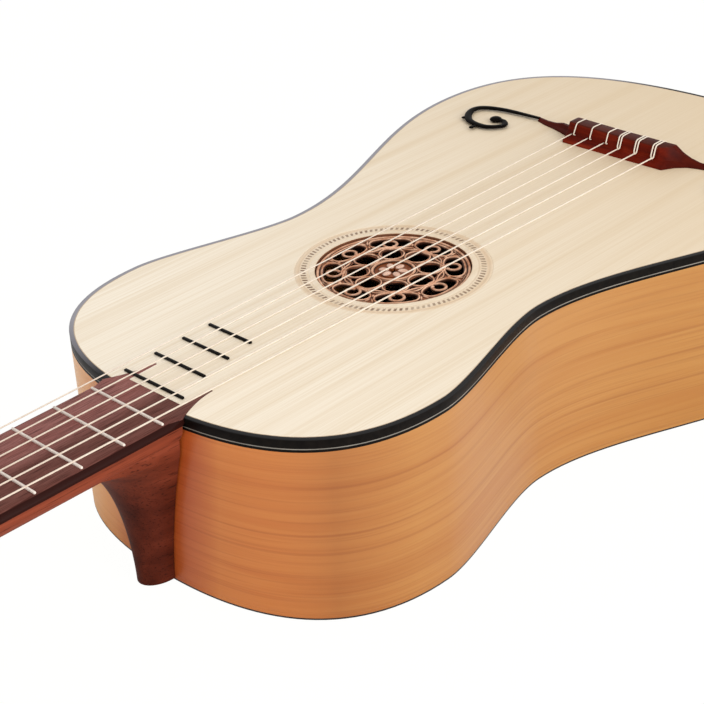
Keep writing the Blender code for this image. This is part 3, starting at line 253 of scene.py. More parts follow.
def body_matrix():
    """The soundboard's own frame in the row frame, found from where the back plate lies."""
    tilt = Matrix.Rotation(math.atan(BACK_SLOPE), 4, "X")
    low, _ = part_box("back_plate")
    edge = tilt @ Vector((0, NECK_END_Y, -BODY_DEPTH_NECK))
    return Matrix.Translation((0, low.y - edge.y, low.z - edge.z)) @ tilt


BODY = body_matrix()
HEAD = BODY @ Matrix.Translation((0, HEAD_Y, NECK_TOP))
HEAD = HEAD @ Matrix.Rotation(math.radians(HEAD_ANGLE), 4, "X")


# Node helpers

def linear(red, green, blue):
    """A colour written in 0 to 255, as the shader's own linear values."""
    shares = [channel / 255 for channel in (red, green, blue)]
    values = [s / 12.92 if s <= 0.04045 else ((s + 0.055) / 1.055) ** 2.4 for s in shares]
    return (*values, 1.0)


def tone(value):
    """A shader colour from a grey share or from 0 to 255 channels, or the value as it is."""
    if isinstance(value, float):
        return (value, value, value, 1.0)
    if isinstance(value, tuple) and len(value) == 3:
        return linear(*value)
    return value


def add(tree, kind, inputs=None, **settings):
    """A shader node with its settings, and its sockets linked or set."""
    made = tree.nodes.new("ShaderNode" + kind)
    for key, value in settings.items():
        setattr(made, key, value)
    for key, value in (inputs or {}).items():
        if isinstance(value, bpy.types.NodeSocket):
            tree.links.new(value, made.inputs[key])
        else:
            made.inputs[key].default_value = value
    return made


class Paint:
    """A procedural material, with short calls for the nodes that it is made of."""

    def __init__(self, name, coat=0.0, specular=0.5):
        self.made = bpy.data.materials.new(name)
        self.made.use_nodes = True
        self.tree = self.made.node_tree
        self.shader = self.tree.nodes["Principled BSDF"]
        self.shader.inputs["Coat Weight"].default_value = coat
        self.shader.inputs["Coat Roughness"].default_value = 0.25
        self.shader.inputs["Specular IOR Level"].default_value = specular

    def axes(self):
        """X, Y and Z of the object's own coordinates."""
        coords = add(self.tree, "TexCoord").outputs["Object"]
        return add(self.tree, "SeparateXYZ", {"Vector": coords}).outputs

    def noise(self, scale, detail=4.0, rough=0.55, distortion=0.0, seed=0.0):
        """Noise in object space, drawn out by a scale for each axis."""
        coords = add(self.tree, "TexCoord").outputs["Object"]
        inputs = {"Vector": coords, "Scale": scale, "Location": (seed, seed, seed)}
        vector = add(self.tree, "Mapping", inputs).outputs["Vector"]
        inputs = {"Vector": vector, "Scale": 1.0, "Detail": detail, "Roughness": rough}
        inputs["Distortion"] = distortion
        return add(self.tree, "TexNoise", inputs).outputs["Fac"]

    def ramp(self, factor, *stops):
        """A colour ramp through (position, colour) stops."""
        made = add(self.tree, "ValToRGB", {"Fac": factor})
        elements = made.color_ramp.elements
        while len(elements) < len(stops):
            elements.new(0.5)
        for element, (position, colour) in zip(elements, stops):
            element.position = position
            element.color = tone(colour)
        return made.outputs["Color"]

    def mix(self, factor, first, second, mode="MIX"):
        inputs = {0: factor, 6: tone(first), 7: tone(second)}
        return add(self.tree, "Mix", inputs, data_type="RGBA", blend_type=mode).outputs[2]

    def maths(self, operation, first, second=0.0):
        inputs = {0: first, 1: second}
        return add(self.tree, "Math", inputs, operation=operation).outputs["Value"]

    def span(self, value, low, high, top=1.0, bottom=0.0):
        """A share that goes from bottom to top as the value goes from low to high."""
        inputs = {"Value": value, "From Min": low, "From Max": high, "To Min": bottom}
        inputs["To Max"] = top
        return add(self.tree, "MapRange", inputs).outputs["Result"]

    def veins(self, grain, low, high, strength, colour, vein):
        """The colour with another mixed in where the grain rises from low to high."""
        return self.mix(self.ramp(grain, (low, 0.0), (high, strength)), colour, vein)

    def finish(self, colour, low, high, spread, height, depth):
        """The material with its colour, a roughness from low to high, and a fine relief."""
        inputs = {"Height": height, "Strength": 0.6, "Distance": depth}
        relief = add(self.tree, "Bump", inputs).outputs["Normal"]
        roughness = self.span(spread, 0.0, 1.0, high, low)
        links = {"Base Color": colour, "Roughness": roughness, "Normal": relief}
        for key, socket in links.items():
            self.tree.links.new(socket, self.shader.inputs[key])
        return self.made


# Materials, with colours in 0 to 255 and the tones over them as linear shares

SPRUCE_PALE = (244, 233, 215)
SPRUCE_LINE = (218, 195, 160)
SPRUCE_WARM = (214, 189, 151)
BORDER_TAN = (204, 168, 128)
BORDER_MARK = (104, 64, 30)
BORDER_WALL = (112, 66, 40)
BORDER_TONES = (
    # Share of the way out across the border, then how much tan is mixed in there
    (0.00, 0.55),
    (0.05, 0.12),
    (0.28, 0.10),
    (0.34, 0.42),
    (0.40, 0.20),
    (0.68, 0.24),
    (0.76, 0.58),
    (0.90, 0.44),
    (1.00, 0.12),
)
RIB_LIGHT = (206, 134, 73)
RIB_MIDDLE = (194, 117, 57)
RIB_DARK = (154, 80, 34)
RIB_BANDS = ((0.30, RIB_MIDDLE), (0.50, RIB_LIGHT), (0.72, RIB_MIDDLE))
RIB_TONES_AND_SHADE = (
    # y in the body's frame, then red, green and blue shares of the tone there
    # The darkest stop, at the neck end beside the heel, is painted shade; the others tone the
    # ribs along the body
    (-0.158, 0.78, 0.40, 0.27),
    (-0.155, 0.97, 0.82, 0.62),
    (-0.130, 0.59, 0.54, 0.42),
    (-0.095, 0.67, 0.75, 0.63),
    (0.045, 0.70, 0.83, 0.76),
    (0.110, 0.67, 0.78, 0.60),
    (0.230, 0.67, 0.80, 0.66),
)
# Painted sheen: a pale colour mixed into the treble rib near its neck end, standing for a
# reflection of the bright room
RIB_PAINTED_SHEEN = (255, 186, 92)
RIB_PAINTED_SHEEN_FROM_X = -0.02
RIB_PAINTED_SHEEN_TO_X = -0.07
RIB_PAINTED_SHEEN_FROM_Y = -0.055
RIB_PAINTED_SHEEN_TO_Y = -0.125
HEEL_SHADE = (0.32, 0.26, 0.24, 1.0)
HEEL_SHADE_LOW = 0.050
HEEL_SHADE_HIGH = 0.093
BOARD_BASS_TONE = (0.50, 0.47, 0.43, 1.0)
BOARD_TONE_REACH = 0.006
BINDING_TOP_REFLECTION = (34, 33, 34)
BINDING_FAR_REFLECTION = (146, 144, 151)
STRING_NECK_SHADE = (0.80, 0.73, 0.70, 1.0)
CARVED_SHADE = (44, 24, 17)


def spruce_colour(paint):
    """Pale spruce: fine lines along Y, wider warm streaks and a deeper tone at the tail."""
    x, y, _ = paint.axes()
    fine = paint.noise((1150, 7, 60), detail=3.0)
    broad = paint.noise((130, 1.6, 20), seed=3.0)
    lines = paint.ramp(fine, (0.40, 0.0), (0.66, 1.0))
    colour = paint.mix(paint.maths("MULTIPLY", lines, 0.42), SPRUCE_PALE, SPRUCE_LINE)
    colour = paint.veins(broad, 0.48, 0.72, 0.45, colour, SPRUCE_WARM)
    place = paint.maths("ADD", y, paint.maths("MULTIPLY", x, 0.6))
    colour = paint.mix(paint.span(place, -0.16, 0.34, 0.92), colour, SPRUCE_WARM)
    return colour, fine, broad


def spruce():
    paint = Paint("spruce", coat=0.06)
    colour, fine, broad = spruce_colour(paint)
    return paint.finish(colour, 0.42, 0.56, broad, fine, 0.00006)


def border_lean():
    """How many marks further round the slant takes a mark, for each metre outwards."""
    return BORDER_MARK_SLANT * BORDER_MARKS / (2 * math.pi * BORDER_MARK_RADIUS)


def burnt_border():
    """Spruce round the rose, toned by radius, with a ring of short burnt marks."""
    paint = Paint("burnt_border", coat=0.05)
    maths = paint.maths
    colour, fine, broad = spruce_colour(paint)
    x, y, z = paint.axes()
    radius = maths("SQRT", maths("ADD", maths("MULTIPLY", x, x), maths("MULTIPLY", y, y)))
    share = maths("SUBTRACT", radius, ROSE_RADIUS)
    share = maths("DIVIDE", share, BORDER_RADIUS - ROSE_RADIUS)
    wobble = maths("MULTIPLY", paint.noise((260, 260, 10), seed=7.0), 0.10)
    share = maths("ADD", share, maths("SUBTRACT", wobble, 0.05))
    colour = paint.mix(paint.ramp(share, *BORDER_TONES), colour, BORDER_TAN)
    turns = maths("MULTIPLY", maths("ARCTAN2", y, x), BORDER_MARKS / (2 * math.pi))
    beyond = maths("SUBTRACT", radius, BORDER_MARK_RADIUS)
    lean = maths("MULTIPLY", beyond, border_lean())
    phase = maths("FRACT", maths("ADD", turns, lean))
    centred = maths("ABSOLUTE", maths("SUBTRACT", phase, 0.5))
    across = paint.ramp(centred, (0.20, 1.0), (0.32, 0.0))
    off = maths("DIVIDE", maths("ABSOLUTE", beyond), BORDER_MARK_LENGTH)
    along = paint.ramp(off, (0.38, 1.0), (0.55, 0.0))
    wear = paint.noise((90, 90, 90), detail=2.0, seed=13.0)
    wear = paint.ramp(wear, (0.30, 0.35), (0.62, 0.9))
    mark = maths("MULTIPLY", maths("MULTIPLY", across, along), wear)
    colour = paint.mix(mark, colour, BORDER_MARK)
    below = maths("LESS_THAN", z, -0.0002)
    inside = maths("LESS_THAN", radius, ROSE_RADIUS + 0.0002)
    colour = paint.mix(maths("MULTIPLY", below, inside), colour, BORDER_WALL)
    return paint.finish(colour, 0.45, 0.6, broad, fine, 0.00005)


def rib_wood(name="rib_wood", line_top=None):
    """Honey-coloured wood with level grain, with painted shade beside the heel, a painted sheen
    on the treble rib near the neck end, and a black line below line_top if given.
    """
    paint = Paint(name, coat=0.7, specular=0.1)
    x, y, z = paint.axes()
    fine = paint.noise((9, 9, 900), detail=5.0, rough=0.6)
    broad = paint.noise((3.5, 3.5, 95), distortion=0.35, seed=5.0)
    colour = paint.veins(fine, 0.50, 0.74, 0.36, paint.ramp(broad, *RIB_BANDS), RIB_DARK)
    lines = paint.noise((2.2, 2.2, 330), detail=2.0, seed=11.0)
    colour = paint.veins(lines, 0.60, 0.70, 0.28, colour, RIB_DARK)
    origin = BODY.translation.y
    first = RIB_TONES_AND_SHADE[0][0]
    last = RIB_TONES_AND_SHADE[-1][0]
    share = paint.span(y, origin + first, origin + last)
    stops = [((at - first) / (last - first), (*tones, 1.0)) for at, *tones in RIB_TONES_AND_SHADE]
    colour = paint.mix(1.0, colour, paint.ramp(share, *stops), "MULTIPLY")
    # Painted sheen on the treble rib near the neck end
    treble = paint.span(x, RIB_PAINTED_SHEEN_FROM_X, RIB_PAINTED_SHEEN_TO_X, 0.75)
    neck_end = paint.span(y, origin + RIB_PAINTED_SHEEN_FROM_Y, origin + RIB_PAINTED_SHEEN_TO_Y)
    colour = paint.mix(paint.maths("MULTIPLY", treble, neck_end), colour, RIB_PAINTED_SHEEN)
    if line_top is not None:
        colour = paint.mix(paint.maths("LESS_THAN", z, line_top), colour, (24, 16, 12))
    return paint.finish(colour, 0.32, 0.46, fine, fine, 0.00004)


def back_wood():
    """The same wood as the ribs, its grain along the body."""
    paint = Paint("back_wood", coat=0.18)
    fine = paint.noise((900, 9, 9), detail=5.0, rough=0.6)
    broad = paint.noise((70, 2.5, 5), distortion=0.4, seed=5.0)
    colour = paint.veins(fine, 0.52, 0.76, 0.5, paint.ramp(broad, *RIB_BANDS), RIB_DARK)
    return paint.finish(colour, 0.30, 0.44, fine, fine, 0.00004)


def mahogany():
    """Red-brown wood with dark pores along Y, and painted shade that deepens it lower down, as
    down the heel.
    """
    paint = Paint("mahogany", specular=0.06)
    broad = paint.noise((110, 4, 110), distortion=0.3)
    pores = paint.noise((1500, 45, 1500), detail=2.0, seed=4.0)
    stops = ((0.30, (104, 46, 30)), (0.55, (140, 66, 44)), (0.75, (160, 80, 56)))
    colour = paint.veins(pores, 0.58, 0.68, 0.75, paint.ramp(broad, *stops), (50, 18, 12))
    # Painted shade: the wood darkens below a height, down the heel
    above = paint.span(paint.axes()["Z"], HEEL_SHADE_LOW, HEEL_SHADE_HIGH)
    tones = paint.ramp(above, (0.0, HEEL_SHADE), (1.0, 0.92))
    colour = paint.mix(1.0, colour, tones, "MULTIPLY")
    return paint.finish(colour, 0.42, 0.56, broad, pores, 0.00006)


def board_wood():
    """Brown-red wood with open grain along Y, darker on the bass half, and with painted shade on
    its bevelled edges.
    """
    paint = Paint("board_wood", specular=0.06)
    x, _, z = paint.axes()
    broad = paint.noise((160, 3.5, 60), detail=5.0, distortion=0.4)
    pores = paint.noise((2600, 70, 600), detail=3.0, seed=9.0)
    stops = ((0.28, (132, 79, 72)), (0.50, (146, 93, 87)), (0.74, (161, 109, 103)))
    colour = paint.veins(pores, 0.48, 0.62, 0.70, paint.ramp(broad, *stops), (70, 30, 26))
    flecks = paint.noise((2300, 90, 600), detail=2.0, seed=17.0)
    colour = paint.veins(flecks, 0.60, 0.68, 0.28, colour, (186, 140, 130))
    bass = paint.span(x, -BOARD_TONE_REACH, BOARD_TONE_REACH)
    tones = paint.ramp(bass, (0.0, 1.0), (1.0, BOARD_BASS_TONE))
    colour = paint.mix(1.0, colour, tones, "MULTIPLY")
    # Painted shade on the bevelled edges and sides, below the board's top
    colour = paint.mix(paint.span(z, -0.0003, -0.0001), (40, 14, 10), colour)
    return paint.finish(colour, 0.38, 0.55, broad, pores, 0.00005)


def bridge_wood():
    """Dark red wood, darker at the block's ends and wings with painted shade, and browner on its
    crest.
    """
    paint = Paint("bridge_wood", specular=0.04)
    x, _, z = paint.axes()
    broad = paint.noise((22, 240, 240), distortion=0.3)
    colour = paint.ramp(broad, (0.30, (70, 14, 8)), (0.55, (100, 23, 7)), (0.75, (126, 40, 20)))
    # Painted shade at the block's ends and along the wings
    ends = paint.span(paint.maths("ABSOLUTE", x), 0.030, 0.037, 0.75)
    colour = paint.mix(ends, colour, (58, 14, 8))
    colour = paint.mix(paint.span(z, 0.0100, 0.0108, 0.7), colour, (62, 34, 28))
    return paint.finish(colour, 0.26, 0.42, broad, broad, 0.00004)


def black_wood(name="black_wood", roughness=0.34, painted_reflection=False, specular=0.07):
    """Black-stained wood with a faint grain; with the flag set, a painted reflection greys its
    top, most at the treble side.
    """
    paint = Paint(name, specular=specular)
    grain = paint.noise((300, 300, 300))
    colour = paint.ramp(grain, (0.35, (8, 5, 4)), (0.70, (18, 14, 11)))
    # Painted reflection of the bright room on the top face, stronger towards the treble side
    if painted_reflection:
        x, _, z = paint.axes()
        treble = paint.span(x, -0.03, -0.08)
        top = paint.ramp(treble, (0.0, BINDING_TOP_REFLECTION), (1.0, BINDING_FAR_REFLECTION))
        colour = paint.mix(paint.span(z, -0.0005, -0.00005), colour, top)
    return paint.finish(colour, roughness - 0.05, roughness + 0.12, grain, grain, 0.00003)


def gut():
    """Cream string with a faint twist, and painted shade over the neck."""
    paint = Paint("gut")
    twist = paint.noise((900, 260, 900), detail=2.0)
    colour = paint.ramp(twist, (0.35, (218, 204, 187)), (0.65, (231, 219, 203)))
    # Painted shade along the string over the neck
    along = paint.span(paint.axes()["Y"], NECK_END_Y - 0.14, NECK_END_Y + 0.06)
    tones = paint.ramp(along, (0.0, STRING_NECK_SHADE), (1.0, 1.0))
    colour = paint.mix(1.0, colour, tones, "MULTIPLY")
    return paint.finish(colour, 0.30, 0.44, twist, twist, 0.00003)


def carved_wood(name, low, high, floor, rise=0.0003):
    """Carved rose wood, between two tones, with painted shade from floor and below it, clear
    above rise.
    """
    paint = Paint(name, specular=0.12)
    grain = paint.noise((420, 90, 300))
    colour = paint.ramp(grain, (0.32, low), (0.68, high))
    # Painted shade on the walls and floors of the carving, below floor
    above = paint.span(paint.axes()["Z"], floor, floor + rise)
    colour = paint.mix(above, CARVED_SHADE, colour)
    return paint.finish(colour, 0.36, 0.52, grain, grain, 0.00005)


def grained(name, scale, detail, stops, roughness, depth):
    """A material with one grain between two tones."""
    paint = Paint(name)
    grain = paint.noise(scale, detail)
    return paint.finish(paint.ramp(grain, *stops), *roughness, grain, grain, depth)


def thin_line(name, low, high):
    """One of the two thin lines beside or in the binding."""
    return grained(name, (90, 90, 90), 3.0, ((0.35, low), (0.70, high)), (0.4, 0.5), 0.00002)


def bone(name, tint):
    deep = tuple(channel * 0.93 for channel in tint)
    return grained(name, (240, 60, 240), 3.0, ((0.35, deep), (0.65, tint)), (0.28, 0.42), 0.00002)


def inner_wood():
    stops = ((0.32, (176, 140, 100)), (0.68, (206, 172, 128)))
    return grained("inner_wood", (260, 12, 120), 4.0, stops, (0.55, 0.75), 0.00008)


# The slot and the material of each finish

FINISH = {
    "spruce": ("soundboard_spruce", spruce()),
    "border": ("soundboard_spruce", burnt_border()),
    "rib": ("rib_wood", rib_wood()),
    "back": ("rib_wood", back_wood()),
    "back_edge": ("rib_wood", rib_wood("back_edge", BACK_LINE_HEIGHT)),
    "mahogany": ("neck_wood", mahogany()),
    "board": ("fingerboard_wood", board_wood()),
    "bridge": ("bridge_wood", bridge_wood()),
    "black": ("ebony", black_wood()),
    "binding": ("ebony", black_wood("binding_black", painted_reflection=True)),
    "scroll": ("ebony", black_wood("scroll_black", 0.30, specular=0.02)),
    "pale_line": ("ebony", thin_line("pale_line", (108, 104, 96), (136, 130, 120))),
    "brown_line": ("ebony", thin_line("brown_line", (176, 152, 124), (204, 182, 152))),
    "bone": ("bone", bone("bone", (228, 208, 190))),
    "fret": ("bone", bone("fret_bone", (232, 219, 208))),
    "gut": ("gut", gut()),
    "inner": ("inner_wood", inner_wood()),
}
ROSE_FINISHES = (
    # Name, the two tones, the height at and below which shade is painted, and what it clears over
    # The panel's and the ground's darker tones are partly the wood's own colour and partly
    # painted shade in the recesses
    ("rose_panel", (116, 64, 41), (154, 94, 62), -0.0021),
    ("rose_band", (192, 128, 92), (250, 204, 172), -0.0018, 0.0008),
    ("rose_petal", (204, 160, 136), (238, 204, 184), -0.0019, 0.0006),
    ("rose_ground", (104, 50, 22), (142, 76, 38), -0.0036),
    ("rose_groove", (52, 27, 18), (76, 42, 28), -0.0030),
)
for rose_finish in ROSE_FINISHES:
    FINISH[rose_finish[0]] = ("rose_wood", carved_wood(*rose_finish))


# Mesh helpers

def link(name, data):
    """A new object in the scene."""
    obj = bpy.data.objects.new(name, data)
    bpy.context.scene.collection.objects.link(obj)
    return obj


def show(name, mesh, finish, *nodes, body="guitar", matrix=BODY, angle=40.0, level=False):
    """A piece with its finish, riding on its body and standing for the CAD nodes."""
    slot, material = FINISH[finish]
    mesh.name = name
    if level:
        mesh.transform(matrix)
        matrix = Matrix.Identity(4)
    mesh.materials.clear()
    mesh.materials.append(material)
    mesh.shade_smooth()
    mesh.set_sharp_from_angle(angle=math.radians(angle))
    obj = link(name, mesh)
    obj.matrix_world = matrix
    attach(obj, body)
    if nodes:
        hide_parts(*nodes)
    return obj


def mesh_of(bm):
    bmesh.ops.recalc_face_normals(bm, faces=bm.faces)
    mesh = bpy.data.meshes.new("draft")
    bm.to_mesh(mesh)
    bm.free()
    return mesh


def evaluated(obj):
    """The object's mesh with its modifiers applied; the object is removed."""
    graph = bpy.context.evaluated_depsgraph_get()
    mesh = bpy.data.meshes.new_from_object(obj.evaluated_get(graph))
    bpy.data.objects.remove(obj, do_unlink=True)
    return mesh


def joined(first, second, operation="UNION"):
    """The Boolean of two meshes."""
    obj = link("draft", first)
    other = link("draft", second)
    modifier = obj.modifiers.new("join", "BOOLEAN")
    modifier.operation = operation
    modifier.object = other
    mesh = evaluated(obj)
    bpy.data.objects.remove(other, do_unlink=True)
    return mesh


def cut(mesh, *cutters):
    """The mesh without the cutters, which stay for other cuts."""
    for cutter in cutters:
        mesh = joined(mesh, cutter.copy(), "DIFFERENCE")
    return mesh


def bevelled(mesh, width, segments=2, angle=40.0):
    obj = link("draft", mesh)
    modifier = obj.modifiers.new("edges", "BEVEL")
    modifier.width = width
    modifier.segments = segments
    modifier.limit_method = "ANGLE"
    modifier.angle_limit = math.radians(angle)
    return evaluated(obj)


def from_curve(loops, closed, widths=None, lift=0.0, **settings):
    """A mesh from a curve through each loop's points, raised by lift and welded."""
    curve = bpy.data.curves.new("draft", "CURVE")
    for key, value in settings.items():
        setattr(curve, key, value)
    for loop in loops:
        spline = curve.splines.new("POLY")
        spline.points.add(len(loop) - 1)
        spline.use_cyclic_u = closed
        for i, (point, spot) in enumerate(zip(spline.points, loop)):
            point.co = (*spot, 1)
            if widths:
                point.radius = widths[i]
    mesh = evaluated(link("draft", curve))
    mesh.transform(Matrix.Translation((0, 0, lift)))
    bm = bmesh.new()
    bm.from_mesh(mesh)
    bmesh.ops.remove_doubles(bm, verts=bm.verts, dist=0.000002)
    bpy.data.meshes.remove(mesh)
    return mesh_of(bm)


def plate(loops, bottom, top):
    """A flat piece with the given closed outlines; inner loops are holes."""
    flat = [[(x, y, 0) for x, y in loop] for loop in loops]
    shape = {"dimensions": "2D", "fill_mode": "BOTH", "extrude": (top - bottom) / 2}
    return from_curve(flat, True, lift=(top + bottom) / 2, **shape)


def tube(points, radius, resolution, closed=False, widths=None):
    """A round bar along a list of points, with an optional width at each."""
    shape = {"dimensions": "3D", "bevel_depth": radius, "bevel_resolution": resolution}
    return from_curve([points], closed, widths, use_fill_caps=not closed, **shape)


def loft(sections, closed=False):
    """Closed sections, all with as many points, skinned in order and capped or closed."""
    bm = bmesh.new()
    rings = [[bm.verts.new(point) for point in section] for section in sections]
    pairs = list(zip(rings, rings[1:]))
    if closed:
        pairs.append((rings[-1], rings[0]))
    for ring, following in pairs:
        for i in range(len(ring)):
            j = (i + 1) % len(ring)
            bm.faces.new((ring[i], ring[j], following[j], following[i]))
    if not closed:
        bm.faces.new(rings[0])
        bm.faces.new(rings[-1])
    return mesh_of(bm)


def turned(profile, steps=40):
    """A solid of revolution about Z from (radius, z) points, which start and end on it."""
    bm = bmesh.new()
    rings = []
    for c, s in circle(1.0, steps):
        rings.append([bm.verts.new((r * c, r * s, z)) for r, z in profile])
    for ring, following in zip(rings, rings[1:] + rings[:1]):
        for i in range(len(ring) - 1):
            bm.faces.new((ring[i], ring[i + 1], following[i + 1], following[i]))
    bmesh.ops.remove_doubles(bm, verts=bm.verts, dist=0.000001)
    return mesh_of(bm)


def box_mesh(low, high):
    bm = bmesh.new()
    bmesh.ops.create_cube(bm, size=1.0)
    bmesh.ops.scale(bm, vec=Vector(high) - Vector(low), verts=bm.verts)
    bmesh.ops.translate(bm, vec=(Vector(high) + Vector(low)) / 2, verts=bm.verts)
    return mesh_of(bm)


def rod_mesh(radius, length, matrix, steps=24):
    bm = bmesh.new()
    shape = {"radius1": radius, "radius2": radius, "depth": length, "segments": steps}
    bmesh.ops.create_cone(bm, cap_ends=True, matrix=matrix, **shape)
    return mesh_of(bm)


def ball_mesh(size, matrix, around=24, rings=12):
    """A sphere with a radius for each axis."""
    bm = bmesh.new()
    bmesh.ops.create_uvsphere(bm, u_segments=around, v_segments=rings, radius=1.0)
    bmesh.ops.scale(bm, vec=size, verts=bm.verts)
    bm.transform(matrix)
    return mesh_of(bm)


def combined(meshes):
    """Several meshes as one, without cutting them."""
    bm = bmesh.new()
    for mesh in meshes:
        bm.from_mesh(mesh)
        bpy.data.meshes.remove(mesh)
    made = bpy.data.meshes.new("draft")
    bm.to_mesh(made)
    bm.free()
    return made


# Paths and outlines

def smooth_path(points, steps):
    """Points along a smooth curve through the given ones."""
    path = []
    ends = [2 * points[0] - points[1]] + points + [2 * points[-1] - points[-2]]
    for a, b, c, d in zip(ends, ends[1:], ends[2:], ends[3:]):
        square = 2 * a - 5 * b + 4 * c - d
        cube = 3 * b - a - 3 * c + d
        for t in (i / steps for i in range(steps)):
            path.append(0.5 * (2 * b + (c - a) * t + square * t * t + cube * t * t * t))
    return path + [points[-1]]


def rounded_path(points, radius, steps):
    """Straight runs between points, with each corner rounded."""
    path = [points[0]]
    for before, corner, after in zip(points, points[1:], points[2:]):
        first = before - corner
        second = after - corner
        reach = min(radius, first.length / 2, second.length / 2)
        start = corner + first.normalized() * reach
        end = corner + second.normalized() * reach
        for t in (i / steps for i in range(steps + 1)):
            path.append((1 - t) ** 2 * start + 2 * (1 - t) * t * corner + t * t * end)
    return path + [points[-1]]


def bezier(start, first, second, end, steps):
    """Points of a cubic curve, without its start."""
    points = []
    for t in (i / steps for i in range(1, steps + 1)):
        weights = ((1 - t) ** 3, 3 * (1 - t) ** 2 * t, 3 * (1 - t) * t * t, t**3)
        pulls = list(zip(weights, (start, first, second, end)))
        points.append(tuple(sum(weight * spot[k] for weight, spot in pulls) for k in (0, 1)))
    return points


def mirrored(loop):
    return [(-x, y) for x, y in loop]


def half_outline():
    """The bass half of the body's outline, from the neck end to the tail."""
    upper = (UPPER_HALF_WIDTH, NECK_END_Y + UPPER_FROM_NECK_END)
    waist = (WAIST_HALF_WIDTH, NECK_END_Y + WAIST_FROM_NECK_END)
    lower = (LOWER_HALF_WIDTH, NECK_END_Y + LOWER_FROM_NECK_END)
    start = (0.0, NECK_END_Y)
    tail = (0.0, TAIL_Y)
    spans = (
        (start, (SHOULDER_REACH, NECK_END_Y), (upper[0], upper[1] - UPPER_RISE), upper),
        (upper, (upper[0], upper[1] + UPPER_FALL), (waist[0], waist[1] - WAIST_RISE), waist),
        (waist, (waist[0], waist[1] + WAIST_FALL), (lower[0], lower[1] - LOWER_RISE), lower),
        (lower, (lower[0], lower[1] + LOWER_FALL), (TAIL_REACH, TAIL_Y), tail),
    )
    points = [start]
    for span in spans:
        points += bezier(*span, OUTLINE_STEPS)
    return points


HALF_OUTLINE = half_outline()


def inset_half(distance):
    """The bass half of the outline moved inwards by distance."""
    points = HALF_OUTLINE
    before = [(-points[1][0], points[1][1])] + points[:-1]
    after = points[1:] + [(-points[-2][0], points[-2][1])]
    moved = []
    for (x, y), a, b in zip(points, before, after):
        along = Vector((b[0] - a[0], b[1] - a[1])).normalized()
        moved.append((x - along.y * distance, y + along.x * distance))
    return moved


def inset_outline(distance):
    half = inset_half(distance)
    return half + mirrored(half[1:-1])[::-1]


def side_of(distance, neck_x):
    """The inset bass half from x = neck_x at the neck to the tail."""
    half = inset_half(distance)
    first = next(i for i, (x, _) in enumerate(HALF_OUTLINE) if x > neck_x)
    x, y = half[first - 1]
    next_x, next_y = half[first]
    return [(neck_x, y + (neck_x - x) / (next_x - x) * (next_y - y))] + half[first:]


def swept(outer, inner, top, bottom, neck_x, side=None):
    """A strip round the body or one side of it; bottom is a height or a function of y."""
    lines = []
    for inset, height in ((outer, top), (inner, top), (inner, bottom), (outer, bottom)):
        edge = side_of(inset, neck_x)
        if side is None:
            edge = edge + mirrored(edge[:-1])[::-1]
        if side == "treble":
            edge = mirrored(edge)
        lines.append([(x, y, height(y) if callable(height) else height) for x, y in edge])
    return loft([list(section) for section in zip(*lines)])


def back_z(y):
    return -(BODY_DEPTH_NECK + BACK_SLOPE * (y - NECK_END_Y))


def board_half_width(y):
    share = (y - NUT_Y) / (NECK_END_Y - NUT_Y)
    return BOARD_HALF_WIDTH_NUT + share * (BOARD_HALF_WIDTH_BODY - BOARD_HALF_WIDTH_NUT)


def board_outline(spare, start_y, steps=18):
    """Plan of the fingerboard with its two horns at the body end, grown by spare."""
    tip_y = NECK_END_Y + HORN_REACH
    base = board_half_width(NECK_END_Y)
    edge = [(board_half_width(start_y) + spare, start_y)]
    for share in (1 - i / steps for i in range(steps + 1)):
        x = HORN_TIP_HALF_WIDTH + (base - HORN_TIP_HALF_WIDTH) * share**HORN_CURVE
        y = tip_y - (HORN_REACH - GAP) * share
        edge.append((x + spare, y + spare))
    edge.append((HORN_TIP_HALF_WIDTH - HORN_TIP_WIDTH - spare, tip_y + spare))
    edge.append((HORN_ROOT_HALF_WIDTH - spare, tip_y - HORN_LENGTH + spare))
    return edge + mirrored(edge)[::-1]


def fret_y(number):
    return BRIDGE_Y - SCALE_LENGTH / 2 ** (number / 12)


def string_x(index, y):
    share = (y - NUT_Y) / (BRIDGE_Y - NUT_Y)
    spread = STRING_SPREAD_NUT + share * (STRING_SPREAD_BRIDGE - STRING_SPREAD_NUT)
    return spread * (index / (STRING_COUNT - 1) - 0.5)


def string_diameter(index):
    ratio = STRING_DIAMETER_BASS / STRING_DIAMETER_TREBLE
    return STRING_DIAMETER_TREBLE * ratio ** (index / (STRING_COUNT - 1))


def circle(reach, steps):
    """A closed loop about the origin; reach is a radius or a function of the angle."""
    points = []
    for i in range(steps):
        angle = 2 * math.pi * i / steps
        radius = reach(angle) if callable(reach) else reach
        points.append((radius * math.cos(angle), radius * math.sin(angle)))
    return points


def half_turn(steps=40):
    """The cosine and sine at even steps from 0 to 180 degrees."""
    angles = [math.pi * i / steps for i in range(steps + 1)]
    return [(math.cos(angle), math.sin(angle)) for angle in angles]


def squared(value, squareness):
    """A cosine or sine pushed outwards, which makes a circle squarer."""
    return math.copysign(abs(value) ** (2 / squareness), value)


def lens(half_x, half_y, squareness, steps):
    """A rounded rectangle about the origin."""
    loop = circle(1.0, steps)
    return [(half_x * squared(c, squareness), half_y * squared(s, squareness)) for c, s in loop]


def turned_to(loop, angle, reach=0.0):
    """A loop moved out along +X by reach and then turned about the origin."""
    c = math.cos(angle)
    s = math.sin(angle)
    return [((x + reach) * c - y * s, (x + reach) * s + y * c) for x, y in loop]


def spot_at(angle, reach, side=0.0):
    return turned_to([(0.0, side)], angle, reach)[0]


# Sound box

